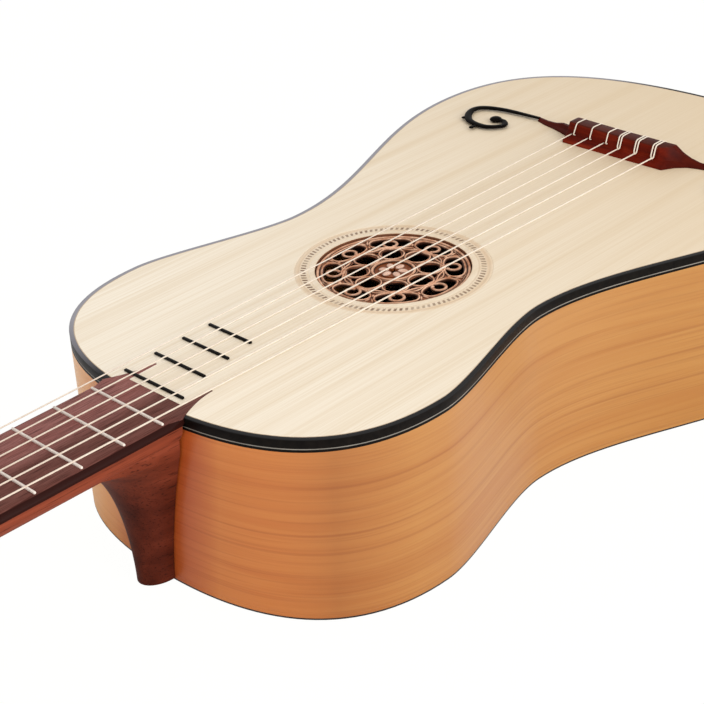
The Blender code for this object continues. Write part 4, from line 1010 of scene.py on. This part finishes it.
def make_top():
    board = plate([inset_outline(TOP_INSET), circle(BORDER_RADIUS, 160)], -TOP_THICKNESS, 0)
    notch = plate([board_outline(GAP / 2, NUT_Y)], -0.01, 0.01)
    show("top", cut(board, notch), "spruce", "soundboard")


def border_height(radius, turn):
    """Relief of the border: grooves at its edges and a dimple at each mark."""
    height = 0.0
    for groove in BORDER_GROOVES:
        off = (radius - groove) / BORDER_GROOVE_WIDTH
        height -= BORDER_GROOVE_DEPTH * math.exp(-(off**2))
    turns = turn * BORDER_MARKS / (2 * math.pi)
    turns += (radius - BORDER_MARK_RADIUS) * border_lean()
    across = abs(turns % 1.0 - 0.5)
    along = abs(radius - BORDER_MARK_RADIUS) / (BORDER_MARK_LENGTH / 2)
    dimple = math.exp(-((across / 0.2) ** 4)) * math.exp(-(along**4))
    return height - BORDER_MARK_DEPTH * dimple


def make_border():
    """The ring of soundboard round the rose, with its stamped relief."""
    radii = [ROSE_RADIUS + (BORDER_RADIUS - ROSE_RADIUS) * i / 34 for i in range(35)]
    turns = BORDER_MARKS * 8
    sections = []
    for step in range(turns):
        turn = 2 * math.pi * step / turns
        section = [(r, border_height(r, turn)) for r in radii]
        section += [(BORDER_RADIUS, -TOP_THICKNESS), (ROSE_RADIUS, -TOP_THICKNESS)]
        c = math.cos(turn)
        s = math.sin(turn)
        sections.append([(r * c, r * s, z) for r, z in section])
    show("rose_border", loft(sections, closed=True), "border", "soundboard")


def make_bindings():
    """The black strip in its two parts, the pale line in it and the brown one inside it."""
    neck_x = BOARD_HALF_WIDTH_BODY * BINDING_END_SHARE
    over = plate([board_outline(GAP / 2, NUT_Y)], NECK_TOP, 0.01)
    high = -BINDING_LINE_TOP
    low = high - BINDING_LINE_HEIGHT
    pieces = (
        ("upper", 0, BINDING_WIDTH, 0, high, "binding", 0.0005),
        ("lower", 0, BINDING_WIDTH, low, -BINDING_HEIGHT, "black", 0.0001),
        ("line", BINDING_LINE_INSET, BINDING_WIDTH, high, low, "pale_line", 0),
        ("inner_line", BINDING_WIDTH, TOP_INSET, 0, -EDGE_LINE_DEPTH, "brown_line", 0),
    )
    for name, outer, inner, top, bottom, finish, edge in pieces:
        strip = swept(outer, inner, top, bottom, neck_x)
        if edge:
            strip = bevelled(strip, edge, 3)
        show("binding_" + name, cut(strip, over), finish, "top_binding")


def make_ribs():
    def low(y):
        return back_z(y) + BACK_THICKNESS

    for side in ("bass", "treble"):
        rib = swept(0, RIB_THICKNESS, -BINDING_HEIGHT, low, GAP / 2, side)
        show("side_" + side, rib, "rib", "rib_" + side, level=True)


def make_back():
    """The back plate, with the finish of its edge on every face but the lower one."""
    back = plate([inset_outline(0)], 0, BACK_THICKNESS)
    for vertex in back.vertices:
        vertex.co.z += back_z(vertex.co.y)
    piece = show("back", bevelled(back, BACK_EDGE_BEVEL, 3), "back", "back_plate", level=True)
    piece.data.materials.append(FINISH["back_edge"][1])
    for face in piece.data.polygons:
        face.material_index = int(face.normal.z > -0.97)


# Rose

def at_folds(loop, reach, offset=0.0):
    turns = [2 * math.pi * (fold + offset) / FOLDS for fold in range(FOLDS)]
    return [turned_to(loop, turn, reach) for turn in turns]


def band(points, width, height, level, closed=True):
    """A raised round-topped band whose crest lies at level."""
    mesh = tube([(x, y, 0) for x, y in points], width / 2, 2, closed)
    mesh.transform(Matrix.Diagonal((1, 1, height / (width / 2), 1)))
    mesh.transform(Matrix.Translation((0, 0, level - height)))
    return mesh


def pad(centre, size, angle, level):
    """A low domed petal or ball end with its crest at level."""
    place = Matrix.Translation((*centre, level - size[2]))
    return ball_mesh(size, place @ Matrix.Rotation(angle, 4, "Z"), 16, 8)


def wave_ring(swing):
    return circle(lambda angle: WEAVE_RADIUS + swing * math.cos(FOLDS * angle), 192)


def arch(spare, steps=ARCH_STEPS):
    return lens(ARCH_HALF_DEPTH + spare, ARCH_HALF_LENGTH + spare, ARCH_SQUARENESS, steps)


def rose_curl(angle, level):
    """A curl standing in its arch, from the inner edge round to a ball end."""
    points = [(-CURL_RADIUS * 1.5, CURL_RADIUS * 0.5)]
    for share in (i / CURL_STEPS for i in range(CURL_STEPS + 1)):
        turn = math.radians(CURL_START + CURL_TURN * share)
        radius = CURL_RADIUS * (1.06 - 0.20 * share)
        points.append((radius * math.cos(turn), radius * math.sin(turn)))
    loop = turned_to(points, angle, ARCH_PITCH - 0.0006)
    curl = band(loop, 0.0018, 0.0008, level, closed=False)
    return combined([curl, pad(loop[-1], CURL_END_SIZE, angle, level)])


def rose_panel():
    """The pierced disc, and the deeper ground at its centre and round its seat."""
    top = -ROSE_SINK - ROSE_RELIEF
    low = top - ROSE_PANEL_THICKNESS
    disc = ROSE_RADIUS - GAP
    inner = CENTRE_RADIUS - 0.0009
    loops = [circle(disc, 128), circle(inner, 64)]
    loops += at_folds(lens(CELL_HALF_SIZE, CELL_HALF_SIZE, 3.0, 32), CELL_PITCH)
    loops += at_folds(lens(0.0012, 0.0023, 2.0, 16), EYE_PITCH, 0.5)
    loops += at_folds(arch(0.0, 48), ARCH_PITCH)
    show("rose_panel", bevelled(plate(loops, low, top), 0.0002), "rose_panel", "rose")

    def star_reach(angle):
        return STAR_RADIUS if math.cos(PETALS * angle) > 0 else STAR_WAIST

    star = circle(star_reach, 2 * PETALS)
    floor = -CENTRE_FLOOR
    ground = plate([circle(inner + 0.0004, 64), star], floor - 0.0009, floor)
    boss = plate([circle(BOSS_RADIUS, 64), star], floor - 0.0002, top)
    rim = [circle(ROSE_RADIUS + ROSE_SEAT_WIDTH, 128), circle(disc - 0.0009, 128)]
    flange = plate(rim, low - 0.0002, -TOP_THICKNESS - GAP / 2)
    show("rose_ground", combined([ground, boss, flange]), "rose_ground", "rose")


def carved_lines():
    """The (loop, width, drop of the crest, closed) of every raised line on the panel."""
    fine = (FINE_LINE_WIDTH, FINE_LINE_DROP)
    disc = ROSE_RADIUS - GAP
    lines = [
        (circle(CENTRE_RADIUS, 96), 0.0015, 0.0, True),
        (circle(CENTRE_RADIUS + 0.0015, 96), *fine, True),
        (circle(disc - RIM_WIDTH / 2 - 0.0001, 160), RIM_WIDTH, 0.0, True),
        (circle(disc - RIM_WIDTH - 0.0008, 160), *fine, True),
        (wave_ring(WEAVE_SWING), 0.0009, 0.0, True),
        (wave_ring(-WEAVE_SWING), 0.0009, 0.0001, True),
    ]
    edge = arch(0.0006)
    outer = arch(0.0022)
    for fold in range(FOLDS):
        angle = 2 * math.pi * fold / FOLDS
        ring = turned_to(circle(CELL_RING_RADIUS, 56), angle, CELL_PITCH)
        lines.append((ring, 0.0010, 0.0, True))
        lines.append((turned_to(edge, angle, ARCH_PITCH), 0.0010, 0.0, True))
        for start, end in ARCH_ECHO_SPANS:
            arc = outer[round(start * ARCH_STEPS) : round(end * ARCH_STEPS) + 1]
            lines.append((turned_to(arc, angle, ARCH_PITCH), *fine, False))
    return lines


def rose_carving():
    """Everything raised on the panel: rings, woven bands, arches, curls and petals, with a wider
    dark band of painted shade under each line.
    """
    level = -ROSE_SINK
    ground = level - ROSE_RELIEF
    bands = []
    shade_outlines = []
    for loop, width, drop, closed in carved_lines():
        crest = level - drop
        bands.append(band(loop, width, crest - ground, crest, closed))
        # A wider dark band under each line: painted shade that outlines it
        wide = width + 2 * SHADE_OUTLINE_WIDTH
        shade_outlines.append(band(loop, wide, SHADE_OUTLINE_RISE, ground + SHADE_OUTLINE_RISE, closed))
    for fold in range(FOLDS):
        angle = 2 * math.pi * fold / FOLDS
        bands.append(rose_curl(angle, level - 0.0001))
        half = angle + math.pi / FOLDS
        for side in (-1, 1):
            turn = half + side * math.radians(LEAF_SPREAD)
            leaf = spot_at(half, LEAF_PITCH, side * LEAF_SIDE)
            bands.append(pad(leaf, LEAF_SIZE, turn, level - 0.0001))
        bands.append(pad(spot_at(half, BEAD_PITCH), BEAD_SIZE, half, level))
    show("rose_carving", combined(bands), "rose_band", "rose", angle=50.0)
    show("rose_grooves", combined(shade_outlines), "rose_groove", "rose", angle=50.0)

    petals = []
    for petal in range(PETALS):
        angle = 2 * math.pi * (petal + 0.5) / PETALS
        petals.append(pad(spot_at(angle, PETAL_PITCH), PETAL_SIZE, angle, level + 0.0001))
    show("rose_petals", combined(petals), "rose_petal", "rose", angle=50.0)


def make_rose():
    rose_panel()
    rose_carving()
    loops = [circle(ROSE_RADIUS + ROSE_SEAT_WIDTH, 128), circle(ROSE_RADIUS, 128)]
    ring = plate(loops, ROSE_RING_TOP - ROSE_RING_THICKNESS, ROSE_RING_TOP)
    show("rose_backing", ring, "rose_ground", "rose_ring")


# Neck

def neck_section(y, depth):
    half = board_half_width(y)
    section = []
    for c, s in half_turn():
        z = NECK_TOP - depth * abs(s) ** (2 / NECK_ROUNDNESS)
        section.append((half * squared(c, NECK_ROUNDNESS), y, z))
    return section


def heel_section(half, length, z):
    root_y = NECK_END_Y - GAP / 2
    return [(half * c, root_y - length * s, z) for c, s in half_turn()]


def make_neck():
    sections = []
    for share in (i / 24 for i in range(25)):
        y = HEAD_Y + share * (NECK_END_Y - GAP / 2 - HEAD_Y)
        total = NECK_DEPTH_NUT + share * (NECK_DEPTH_BODY - NECK_DEPTH_NUT)
        sections.append(neck_section(y, total + NECK_TOP))
    foot_z = back_z(NECK_END_Y) + HEEL_FOOT_CLEAR
    start = (HEEL_LENGTH_TOP, -NECK_DEPTH_BODY)
    sweep = (HEEL_LENGTH_TOP - HEEL_SWEEP_NECK, -NECK_DEPTH_BODY)
    rise = (HEEL_LENGTH_FOOT, foot_z + HEEL_SWEEP_FOOT)
    front = [start] + bezier(start, sweep, rise, (HEEL_LENGTH_FOOT, foot_z), 36)
    root_z = NECK_TOP - BOARD_THICKNESS
    root_half = HEEL_HALF_WIDTH_TOP * HEEL_ROOT_SHARE
    heel = [heel_section(root_half, HEEL_LENGTH_TOP * HEEL_ROOT_SHARE, root_z)]
    for length, z in front:
        share = 1 - (z - root_z) / (foot_z - root_z)
        half = HEEL_HALF_WIDTH_TOP - HEEL_HALF_WIDTH_FOOT
        half = HEEL_HALF_WIDTH_FOOT + half * share**HEEL_NARROWING
        heel.append(heel_section(half, length, z))
    whole = joined(loft(sections), loft(heel))
    show("neck_and_heel", whole, "mahogany", "neck", angle=50.0, level=True)


def make_fingerboard():
    """The board, whose bevelled edges fade towards its two horns."""
    ends = (
        (NUT_Y + GAP / 2, BOARD_EDGE_BEVEL),
        (NECK_END_Y - BOARD_BEVEL_FADE, BOARD_EDGE_BEVEL),
        (NECK_END_Y, GAP),
    )
    sections = []
    for y, slope in ends:
        half = board_half_width(y)
        edge = [(half, NECK_TOP), (half, -slope), (half - slope, 0)]
        sections.append([(x, y, z) for x, z in edge + mirrored(edge)[::-1]])
    horns = plate([board_outline(0.0, NECK_END_Y - GAP)], -BOARD_THICKNESS, 0)
    board = bevelled(joined(loft(sections), horns), 0.00015, 1)
    show("playing_board", board, "board", "fingerboard")


def make_frets():
    for number in range(1, NECK_FRETS + 1):
        y = fret_y(number)
        reach = board_half_width(y) - FRET_END_INSET
        low = (-reach, y - FRET_WIDTH / 2, -FRET_SINK)
        high = (reach, y + FRET_WIDTH / 2, FRET_HEIGHT)
        bar = bevelled(box_mesh(low, high), 0.0005, 3)
        show("neck_fret_%02d" % number, bar, "fret", "fret_%02d" % number)
    for number, (start, end) in enumerate(BODY_FRET_SPANS, NECK_FRETS + 1):
        y = fret_y(number)
        low = (start, y - BODY_FRET_WIDTH / 2, 0)
        high = (end, y + BODY_FRET_WIDTH / 2, BODY_FRET_HEIGHT)
        bar = bevelled(box_mesh(low, high), 0.0004, 3)
        show("top_fret_%02d" % number, bar, "black", "body_fret_%02d" % number)


def string_rods(string_y, middle_y, z, spare, length):
    """Rods along Y that cut the strings' grooves or holes, spaced as they are at string_y."""
    rods = []
    for index in range(STRING_COUNT):
        place = Matrix.Translation((string_x(index, string_y), middle_y, z))
        place = place @ Matrix.Rotation(math.pi / 2, 4, "X")
        rods.append(rod_mesh(string_diameter(index) / 2 + spare, length, place))
    return rods


def make_nut():
    low = (-BOARD_HALF_WIDTH_NUT, HEAD_Y, NECK_TOP + GAP / 2)
    high = (BOARD_HALF_WIDTH_NUT, NUT_Y, STRING_HEIGHT_NUT)
    middle = NUT_Y - NUT_LENGTH / 2
    shade_outlines = string_rods(NUT_Y, middle, STRING_HEIGHT_NUT, GAP / 3, NUT_LENGTH * 2)
    nut = cut(bevelled(box_mesh(low, high), 0.0012, 4), *shade_outlines)
    show("bone_nut", nut, "bone", "nut")


# Head, pegs and strings

def head_outline():
    nut = (HEAD_HALF_WIDTH_NUT, 0.0)
    shoulder = (HEAD_HALF_WIDTH_SHOULDER, -HEAD_SHOULDER_FROM_NUT)
    corner = (HEAD_HALF_WIDTH_TIP, -HEAD_LENGTH + HEAD_CORNER_DROP)
    tip = (0.0, -HEAD_LENGTH)
    ease = HEAD_SHOULDER_FROM_NUT * HEAD_SHOULDER_EASE
    third = (shoulder[1] - corner[1]) / 3
    before = (shoulder[0], shoulder[1] - third)
    after = (shoulder[0], corner[1] + third)
    crest = HEAD_HALF_WIDTH_TIP * HEAD_CREST_FULLNESS
    edge = [nut] + bezier(nut, (nut[0], -ease), (shoulder[0], -ease), shoulder, 14)
    edge += bezier(shoulder, before, after, corner, 24)
    edge += bezier(corner, (crest, corner[1]), (crest, tip[1]), tip, 18)
    return edge + mirrored(edge[:-1])[::-1]


def peg_places():
    """Where the pegs stand on the head: up the treble side, then down the bass side."""
    places = []
    for index in range(STRING_COUNT):
        side = -1 if index < PEG_ROW_COUNT else 1
        row = min(index, STRING_COUNT - 1 - index)
        spread = PEG_HALF_SPREAD_LAST - PEG_HALF_SPREAD_FIRST
        spread = PEG_HALF_SPREAD_FIRST + spread * row / (PEG_ROW_COUNT - 1)
        places.append((side * spread, -(PEG_FIRST_FROM_NUT + row * PEG_PITCH)))
    return places


def head_thickness(y):
    share = -y / HEAD_LENGTH
    return HEAD_THICKNESS_NUT + share * (HEAD_THICKNESS_TIP - HEAD_THICKNESS_NUT)


def make_head():
    top = -VENEER_THICKNESS
    core = plate([head_outline()], top - HEAD_THICKNESS_NUT, top)
    for vertex in core.vertices:
        if vertex.co.z < top - HEAD_THICKNESS_NUT / 2:
            vertex.co.z += HEAD_THICKNESS_NUT - head_thickness(vertex.co.y)
    veneer = plate([head_outline()], top, 0)
    cutters = [box_mesh((-0.1, -0.0003, -0.1), (0.1, 0.01, 0.1))]
    for x, y in peg_places():
        hole = Matrix.Translation((x, y, 0))
        cutters.append(rod_mesh(PEG_RADIUS_BACK + GAP, 0.06, hole, 48))
    core = bevelled(cut(core, *cutters), 0.0006, angle=60.0)
    veneer = bevelled(cut(veneer, *cutters), 0.0003, angle=60.0)
    show("head_core", core, "mahogany", "head", matrix=HEAD)
    show("head_face", veneer, "black", "head_veneer", matrix=HEAD)


def peg_shaft(rear, low):
    """The turned shaft, from its front end to below the collar that meets the head."""
    profile = (
        (0.0, PEG_FRONT_REACH),
        (PEG_RADIUS_FRONT * 0.55, PEG_FRONT_REACH - 0.0001),
        (PEG_RADIUS_FRONT * 0.85, PEG_FRONT_REACH - 0.0005),
        (PEG_RADIUS_FRONT, PEG_FRONT_REACH - 0.0014),
        (PEG_RADIUS_BACK, rear + 0.0002),
        (PEG_COLLAR_RADIUS * 0.93, rear + 0.0001),
        (PEG_COLLAR_RADIUS, rear - 0.0004),
        (PEG_COLLAR_RADIUS, rear - 0.0013),
        (PEG_COLLAR_RADIUS * 0.92, rear - 0.0018),
        (PEG_COLLAR_RADIUS * 0.72, rear - 0.0020),
        (PEG_COLLAR_RADIUS * 0.66, rear - 0.0028),
        (PEG_COLLAR_RADIUS * 0.78, rear - 0.0034),
        (PEG_COLLAR_RADIUS * 0.78, rear - 0.0042),
        (PEG_COLLAR_RADIUS * 0.60, rear - 0.0048),
        (PEG_COLLAR_RADIUS * 0.50, low - 0.0020),
        (0.0, low - 0.0030),
    )
    return turned(profile)


def peg_grip(top):
    """The flat heart-shaped handle, hollowed a little on both faces."""
    sections = []
    for i in range(PEG_GRIP_STEPS + 1):
        share = i / PEG_GRIP_STEPS
        swell = math.sin(math.pi * min(1.0, 0.16 + 0.84 * share)) ** 0.62
        half_y = 0.0030 + (PEG_GRIP_WIDTH / 2 - 0.0030) * swell
        if i == PEG_GRIP_STEPS:
            half_y = PEG_GRIP_WIDTH / 2 * 0.30
        half_x = PEG_GRIP_THICKNESS / 2 * (0.80 - 0.18 * math.sin(math.pi * share))
        z = top - share * PEG_GRIP_HEIGHT
        sections.append([(x, y, z) for x, y in lens(half_x, half_y, 2.2, 28)])
    grip = loft(sections)
    for vertex in grip.vertices:
        reach = abs(vertex.co.y) / (PEG_GRIP_WIDTH / 2)
        vertex.co.x *= 0.66 + 0.34 * reach**1.5
    return bevelled(grip, 0.0006, angle=50.0)


def make_peg(number, x, y, body):
    rear = -VENEER_THICKNESS - GAP - head_thickness(y) - 2 * GAP
    low = rear - PEG_COLLAR_HEIGHT
    top = low + PEG_GRIP_OVERLAP
    place = HEAD @ Matrix.Translation((x, y, 0))
    whole = combined([peg_shaft(rear, low), peg_grip(top)])
    name = "tuning_peg_%d" % number
    show(name, whole, "black", "peg_%d" % number, body=body, matrix=place)
    spot = Matrix.Translation((0, 0, top - PEG_GRIP_HEIGHT - PEG_PIP_RADIUS * 0.45))
    pip = ball_mesh([PEG_PIP_RADIUS] * 3, spot, around=20)
    show("peg_pip_%d" % number, pip, "bone", body=body, matrix=place)


def make_winding(number, x, y, body):
    """Draws the string's turns round its peg, and returns the radius that they reach."""
    share = (PEG_FRONT_REACH - WINDING_FROM_FACE) / (PEG_FRONT_REACH + HEAD_THICKNESS_NUT)
    peg_radius = PEG_RADIUS_FRONT + share * (PEG_RADIUS_BACK - PEG_RADIUS_FRONT)
    diameter = string_diameter(number - 1)
    radius = peg_radius + diameter / 2
    height = WINDING_HEIGHT - diameter
    turns = height / diameter
    steps = int(turns * 20)
    points = []
    for i in range(steps + 1):
        angle = 2 * math.pi * turns * i / steps
        z = WINDING_FROM_FACE + diameter / 2 + height * i / steps
        points.append((radius * math.cos(angle), radius * math.sin(angle), z))
    coil = tube(points, diameter / 2 * 0.98, 2)
    place = HEAD @ Matrix.Translation((x, y, 0))
    name = "wound_string_%d" % number
    show(name, coil, "gut", "string_winding_%d" % number, body=body, matrix=place)
    return radius + diameter / 2


def make_string(index, outer):
    """From beside its winding over the nut to the bridge, and tied round the block."""
    diameter = string_diameter(index)
    r = diameter / 2
    x, y = peg_places()[index]
    stop = Vector((x + math.copysign(outer + r, -x), y, WINDING_FROM_FACE + WINDING_HEIGHT / 2))
    nut_x = string_x(index, NUT_Y)
    tie_x = string_x(index, BRIDGE_Y)
    hole_z = STRING_HEIGHT_BRIDGE
    crest_z = BRIDGE_HEIGHT + r
    skew = max(0.0, -tie_x) * BRIDGE_TREBLE_SKEW
    back = BRIDGE_Y + BRIDGE_DEPTH + r
    crest = BRIDGE_Y + BRIDGE_CREST_DEPTH + skew + r / 2
    face = BRIDGE_Y + BRIDGE_FACE_DEPTH + skew - r / 2
    foot = BRIDGE_Y + TIE_FOOT_DEPTH - r
    apart = diameter * TIE_SPREAD

    def over(rear_x, face_x):
        rear = [(rear_x, back, BRIDGE_REAR_HEIGHT), (rear_x, crest, crest_z)]
        return rear + [(face_x, face, crest_z), (face_x, foot, hole_z + diameter)]

    knots = [
        BODY.inverted() @ HEAD @ stop,
        (nut_x, HEAD_Y + 0.0004, STRING_HEIGHT_NUT),
        (nut_x, NUT_Y, STRING_HEIGHT_NUT),
        (tie_x, BRIDGE_Y, hole_z),
        (tie_x, back - 0.0002, hole_z),
    ]
    if index < STRING_COUNT / 2:
        lean = tie_x + TREBLE_TIE_LEAN
        knots += over(lean, lean - apart / 2)
        knots.append((lean - apart / 2, foot + r + 2 * diameter, hole_z))
    else:
        knots += over(tie_x - apart, tie_x - apart)
        knots.append((tie_x, foot - 0.0003, hole_z - diameter * 0.9))
        knots += over(tie_x + apart, tie_x + apart)[::-1]
    path = rounded_path([Vector(knot) for knot in knots], TIE_CORNER_RADIUS, 4)
    number = index + 1
    show("string_run_%d" % number, tube(path, r, 3), "gut", "string_%d" % number)


# Bridge

# Stations: x, front, apron, face, crest start, crest end, back, apron height, top, rear height
BRIDGE_BLOCK = (0.0000, 0.0030, 0.0034, 0.0045, 0.0125, 0.0155, 0.0031, 1.00, 1.00)
BRIDGE_WING = (
    (0.0440, 0.0112, 0.0122, 0.0130, 0.0142, 0.0158, 0.0166, 0.0016, 0.38, 0.52),
    (0.0490, 0.0130, 0.0138, 0.0144, 0.0152, 0.0164, 0.0171, 0.0012, 0.25, 0.34),
    (0.0550, 0.0144, 0.0150, 0.0156, 0.0162, 0.0174, 0.0180, 0.0009, 0.19, 0.24),
    (0.0615, 0.0170, 0.0174, 0.0178, 0.0184, 0.0194, 0.0200, 0.0008, 0.16, 0.20),
)
BRIDGE_BASS = (
    (0.0000, *BRIDGE_BLOCK),
    (0.0305, *BRIDGE_BLOCK),
    (0.0350, 0.0000, 0.0036, 0.0060, 0.0098, 0.0140, 0.0158, 0.0029, 0.94, 1.00),
    (0.0390, 0.0068, 0.0084, 0.0098, 0.0122, 0.0145, 0.0160, 0.0022, 0.64, 0.80),
    *BRIDGE_WING,
)
BRIDGE_TREBLE = (
    (0.0318, 0.0000, 0.0030, 0.0036, 0.0056, 0.0136, 0.0160, 0.0031, 1.00, 1.00),
    (0.0332, 0.0000, 0.0030, 0.0038, 0.0060, 0.0137, 0.0160, 0.0031, 0.99, 0.99),
    (0.0342, 0.0002, 0.0031, 0.0040, 0.0068, 0.0138, 0.0160, 0.0031, 0.95, 0.97),
    (0.0348, 0.0012, 0.0038, 0.0050, 0.0080, 0.0140, 0.0160, 0.0030, 0.86, 0.92),
    (0.0352, 0.0030, 0.0050, 0.0066, 0.0096, 0.0144, 0.0161, 0.0028, 0.72, 0.82),
    (0.0356, 0.0080, 0.0096, 0.0108, 0.0128, 0.0150, 0.0162, 0.0019, 0.42, 0.56),
    (0.0400, 0.0095, 0.0108, 0.0118, 0.0132, 0.0154, 0.0164, 0.0018, 0.37, 0.52),
    *BRIDGE_WING,
)


def bridge_section(station, side):
    x, front, apron, face, crest, crest_end, back, apron_z, top, rear = station
    if side < 0:
        x -= BRIDGE_TREBLE_SHORT * (1 - x / BRIDGE_HALF_LENGTH)
    top_z = BRIDGE_HEIGHT * top
    rear_z = min(BRIDGE_REAR_HEIGHT * rear, top_z * 0.85)
    outline = (
        (front, 0.0),
        (front, min(0.0012, top_z * 0.3)),
        (apron, apron_z),
        (face, apron_z * 1.2 + 0.0002),
        (crest, top_z),
        (crest_end, top_z),
        (back, rear_z),
        (back, 0.0),
    )
    return [(side * x, BRIDGE_Y + y, z) for y, z in outline]


def make_bridge():
    sections = [bridge_section(station, -1) for station in reversed(BRIDGE_TREBLE)]
    sections += [bridge_section(station, 1) for station in BRIDGE_BASS]
    middle = BRIDGE_Y + BRIDGE_DEPTH / 2
    holes = string_rods(BRIDGE_Y, middle, STRING_HEIGHT_BRIDGE, GAP, BRIDGE_DEPTH * 2)
    bridge = bevelled(cut(loft(sections), *holes), 0.0003, angle=25.0)
    show("tie_bridge", bridge, "bridge", "bridge", angle=20.0)


SCROLL_KNOTS = (
    # Out and along as shares of the scroll's length, then the line's relative width
    (0.00, 0.00, 0.72),
    (0.65, -0.05, 0.98),
    (0.99, -0.20, 1.1),
    (1.00, -0.45, 1.1),
    (0.78, -0.71, 1.1),
    (0.45, -0.76, 1.1),
    (0.25, -0.58, 1.0),
    (0.34, -0.43, 0.9),
    (0.50, -0.43, 1.2),
)
SCROLL_SPURS = (
    # Share of the way along the scroll, then how far the spur reaches
    (0.45, 0.0024),
    (0.57, 0.0052),
)


def blob(centre, radius):
    return ball_mesh([radius] * 3, Matrix.Translation(centre))


def make_scrolls():
    """A flat curling line with a ball end and two small spurs, beyond each wing."""
    tip_y = BRIDGE_Y + BRIDGE_DEPTH + BRIDGE_TIP_BACK - BRIDGE_TIP_WIDTH / 2
    for name, side in (("bass", 1), ("treble", -1)):
        knots = []
        for out, along, width in SCROLL_KNOTS:
            x = side * (BRIDGE_HALF_LENGTH + SCROLL_LENGTH * out)
            knots.append(Vector((x, tip_y + SCROLL_LENGTH * along, width)))
        path = smooth_path(knots, 10)
        widths = [spot.z for spot in path]
        spots = [Vector((spot.x, spot.y, 0)) for spot in path]
        parts = [tube(spots, SCROLL_RADIUS, 3, widths=widths)]
        parts.append(blob(spots[-1], SCROLL_END_RADIUS))
        for share, reach in SCROLL_SPURS:
            index = round(share * (len(spots) - 1))
            along = (spots[index + 1] - spots[index - 1]).normalized()
            spur = spots[index] + Vector((along.y, -along.x, 0)) * -side * reach
            parts.append(tube([spots[index], spur], SPUR_RADIUS, 3))
            parts.append(blob(spur, SPUR_END_RADIUS))
        whole = combined(parts)
        whole.transform(Matrix.Diagonal((1, 1, SCROLL_FLATNESS, 1)))
        low = min(vertex.co.z for vertex in whole.vertices)
        whole.transform(Matrix.Translation((0, 0, -low)))
        show("moustache_" + name, whole, "scroll", "scroll_" + name, angle=50.0)


def dress_inner_nodes():
    """The unseen linings, blocks and bars keep their CAD solids and take a wood finish."""
    for name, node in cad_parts.items():
        if any(word in name for word in ("lining", "block", "bar_")):
            node.data.materials.clear()
            node.data.materials.append(FINISH["inner"][1])


# Room, light and camera

FLOOR_HALF_SIZE = 6.0
FLOOR_DROP = 0.0005
LIGHT_PLACE = Vector((1.6, 0.0, 0.70))
LIGHT_TARGET = Vector((0.0, 0.15, 0.08))
LIGHT_SIZE = 1.2
LIGHT_POWER = 21.0
CAMERA_LENS = 83.207
CAMERA_PLACE = (0.48442, -0.51810, 0.35287)
CAMERA_TURN = (60.5993, 2.5396, 43.4359)


def make_floor():
    """A plain floor that the camera sees nearly white, apart from the object's shadow."""
    paint = Paint("floor_white", specular=0.1)
    paint.shader.inputs["Roughness"].default_value = 0.9
    paint.shader.inputs["Base Color"].default_value = (0.86, 0.86, 0.855, 1.0)
    glow = add(paint.tree, "Emission", {"Color": (1, 1, 0.985, 1), "Strength": 1.02})
    seen = add(paint.tree, "LightPath").outputs["Is Camera Ray"]
    inputs = {0: paint.maths("MULTIPLY", seen, 0.965)}
    inputs[1] = paint.shader.outputs["BSDF"]
    inputs[2] = glow.outputs["Emission"]
    mixed = add(paint.tree, "MixShader", inputs).outputs["Shader"]
    paint.tree.links.new(mixed, paint.tree.nodes["Material Output"].inputs["Surface"])
    bm = bmesh.new()
    bmesh.ops.create_grid(bm, x_segments=2, y_segments=2, size=FLOOR_HALF_SIZE)
    mesh = mesh_of(bm)
    mesh.materials.append(paint.made)
    floor = link("floor", mesh)
    floor.location.z = -FLOOR_DROP


def make_light():
    """A pale room, a little brighter to the camera, and one soft lamp at the bass side."""
    world = bpy.data.worlds.new("studio")
    bpy.context.scene.world = world
    world.use_nodes = True
    tree = world.node_tree
    sky = tree.nodes["Background"]
    sky.inputs["Color"].default_value = (1.0, 0.995, 0.985, 1.0)
    seen = add(tree, "LightPath").outputs["Is Camera Ray"]
    strength = add(tree, "MapRange", {"Value": seen, "To Min": 0.86, "To Max": 1.0})
    tree.links.new(strength.outputs["Result"], sky.inputs["Strength"])
    data = bpy.data.lights.new("side", "AREA")
    data.shape = "DISK"
    data.size = LIGHT_SIZE
    data.energy = LIGHT_POWER
    data.color = (1.0, 0.985, 0.96)
    light = link("side", data)
    light.location = LIGHT_PLACE
    light.rotation_euler = (LIGHT_TARGET - LIGHT_PLACE).to_track_quat("-Z", "Y").to_euler()


def make_camera():
    """The photograph's camera, placed in the soundboard's frame."""
    data = bpy.data.cameras.new("camera")
    data.sensor_width = 36.0
    data.lens = CAMERA_LENS
    data.clip_start = 0.01
    camera = link("camera", data)
    turn = Euler([math.radians(angle) for angle in CAMERA_TURN], "XYZ")
    camera.matrix_world = BODY @ Matrix.Translation(CAMERA_PLACE) @ turn.to_matrix().to_4x4()
    bpy.context.scene.camera = camera


def main():
    make_top()
    make_border()
    make_bindings()
    make_ribs()
    make_back()
    make_rose()
    make_neck()
    make_fingerboard()
    make_frets()
    make_nut()
    make_head()
    bodies = ("peg_one", "peg_two", "peg_three", "peg_four", "peg_five", "peg_six")
    for index, ((x, y), body) in enumerate(zip(peg_places(), bodies)):
        make_peg(index + 1, x, y, body)
        outer = make_winding(index + 1, x, y, body)
        make_string(index, outer)
    make_bridge()
    make_scrolls()
    dress_inner_nodes()
    make_floor()
    make_light()
    make_camera()
    bpy.context.scene.view_settings.view_transform = "Standard"


main()
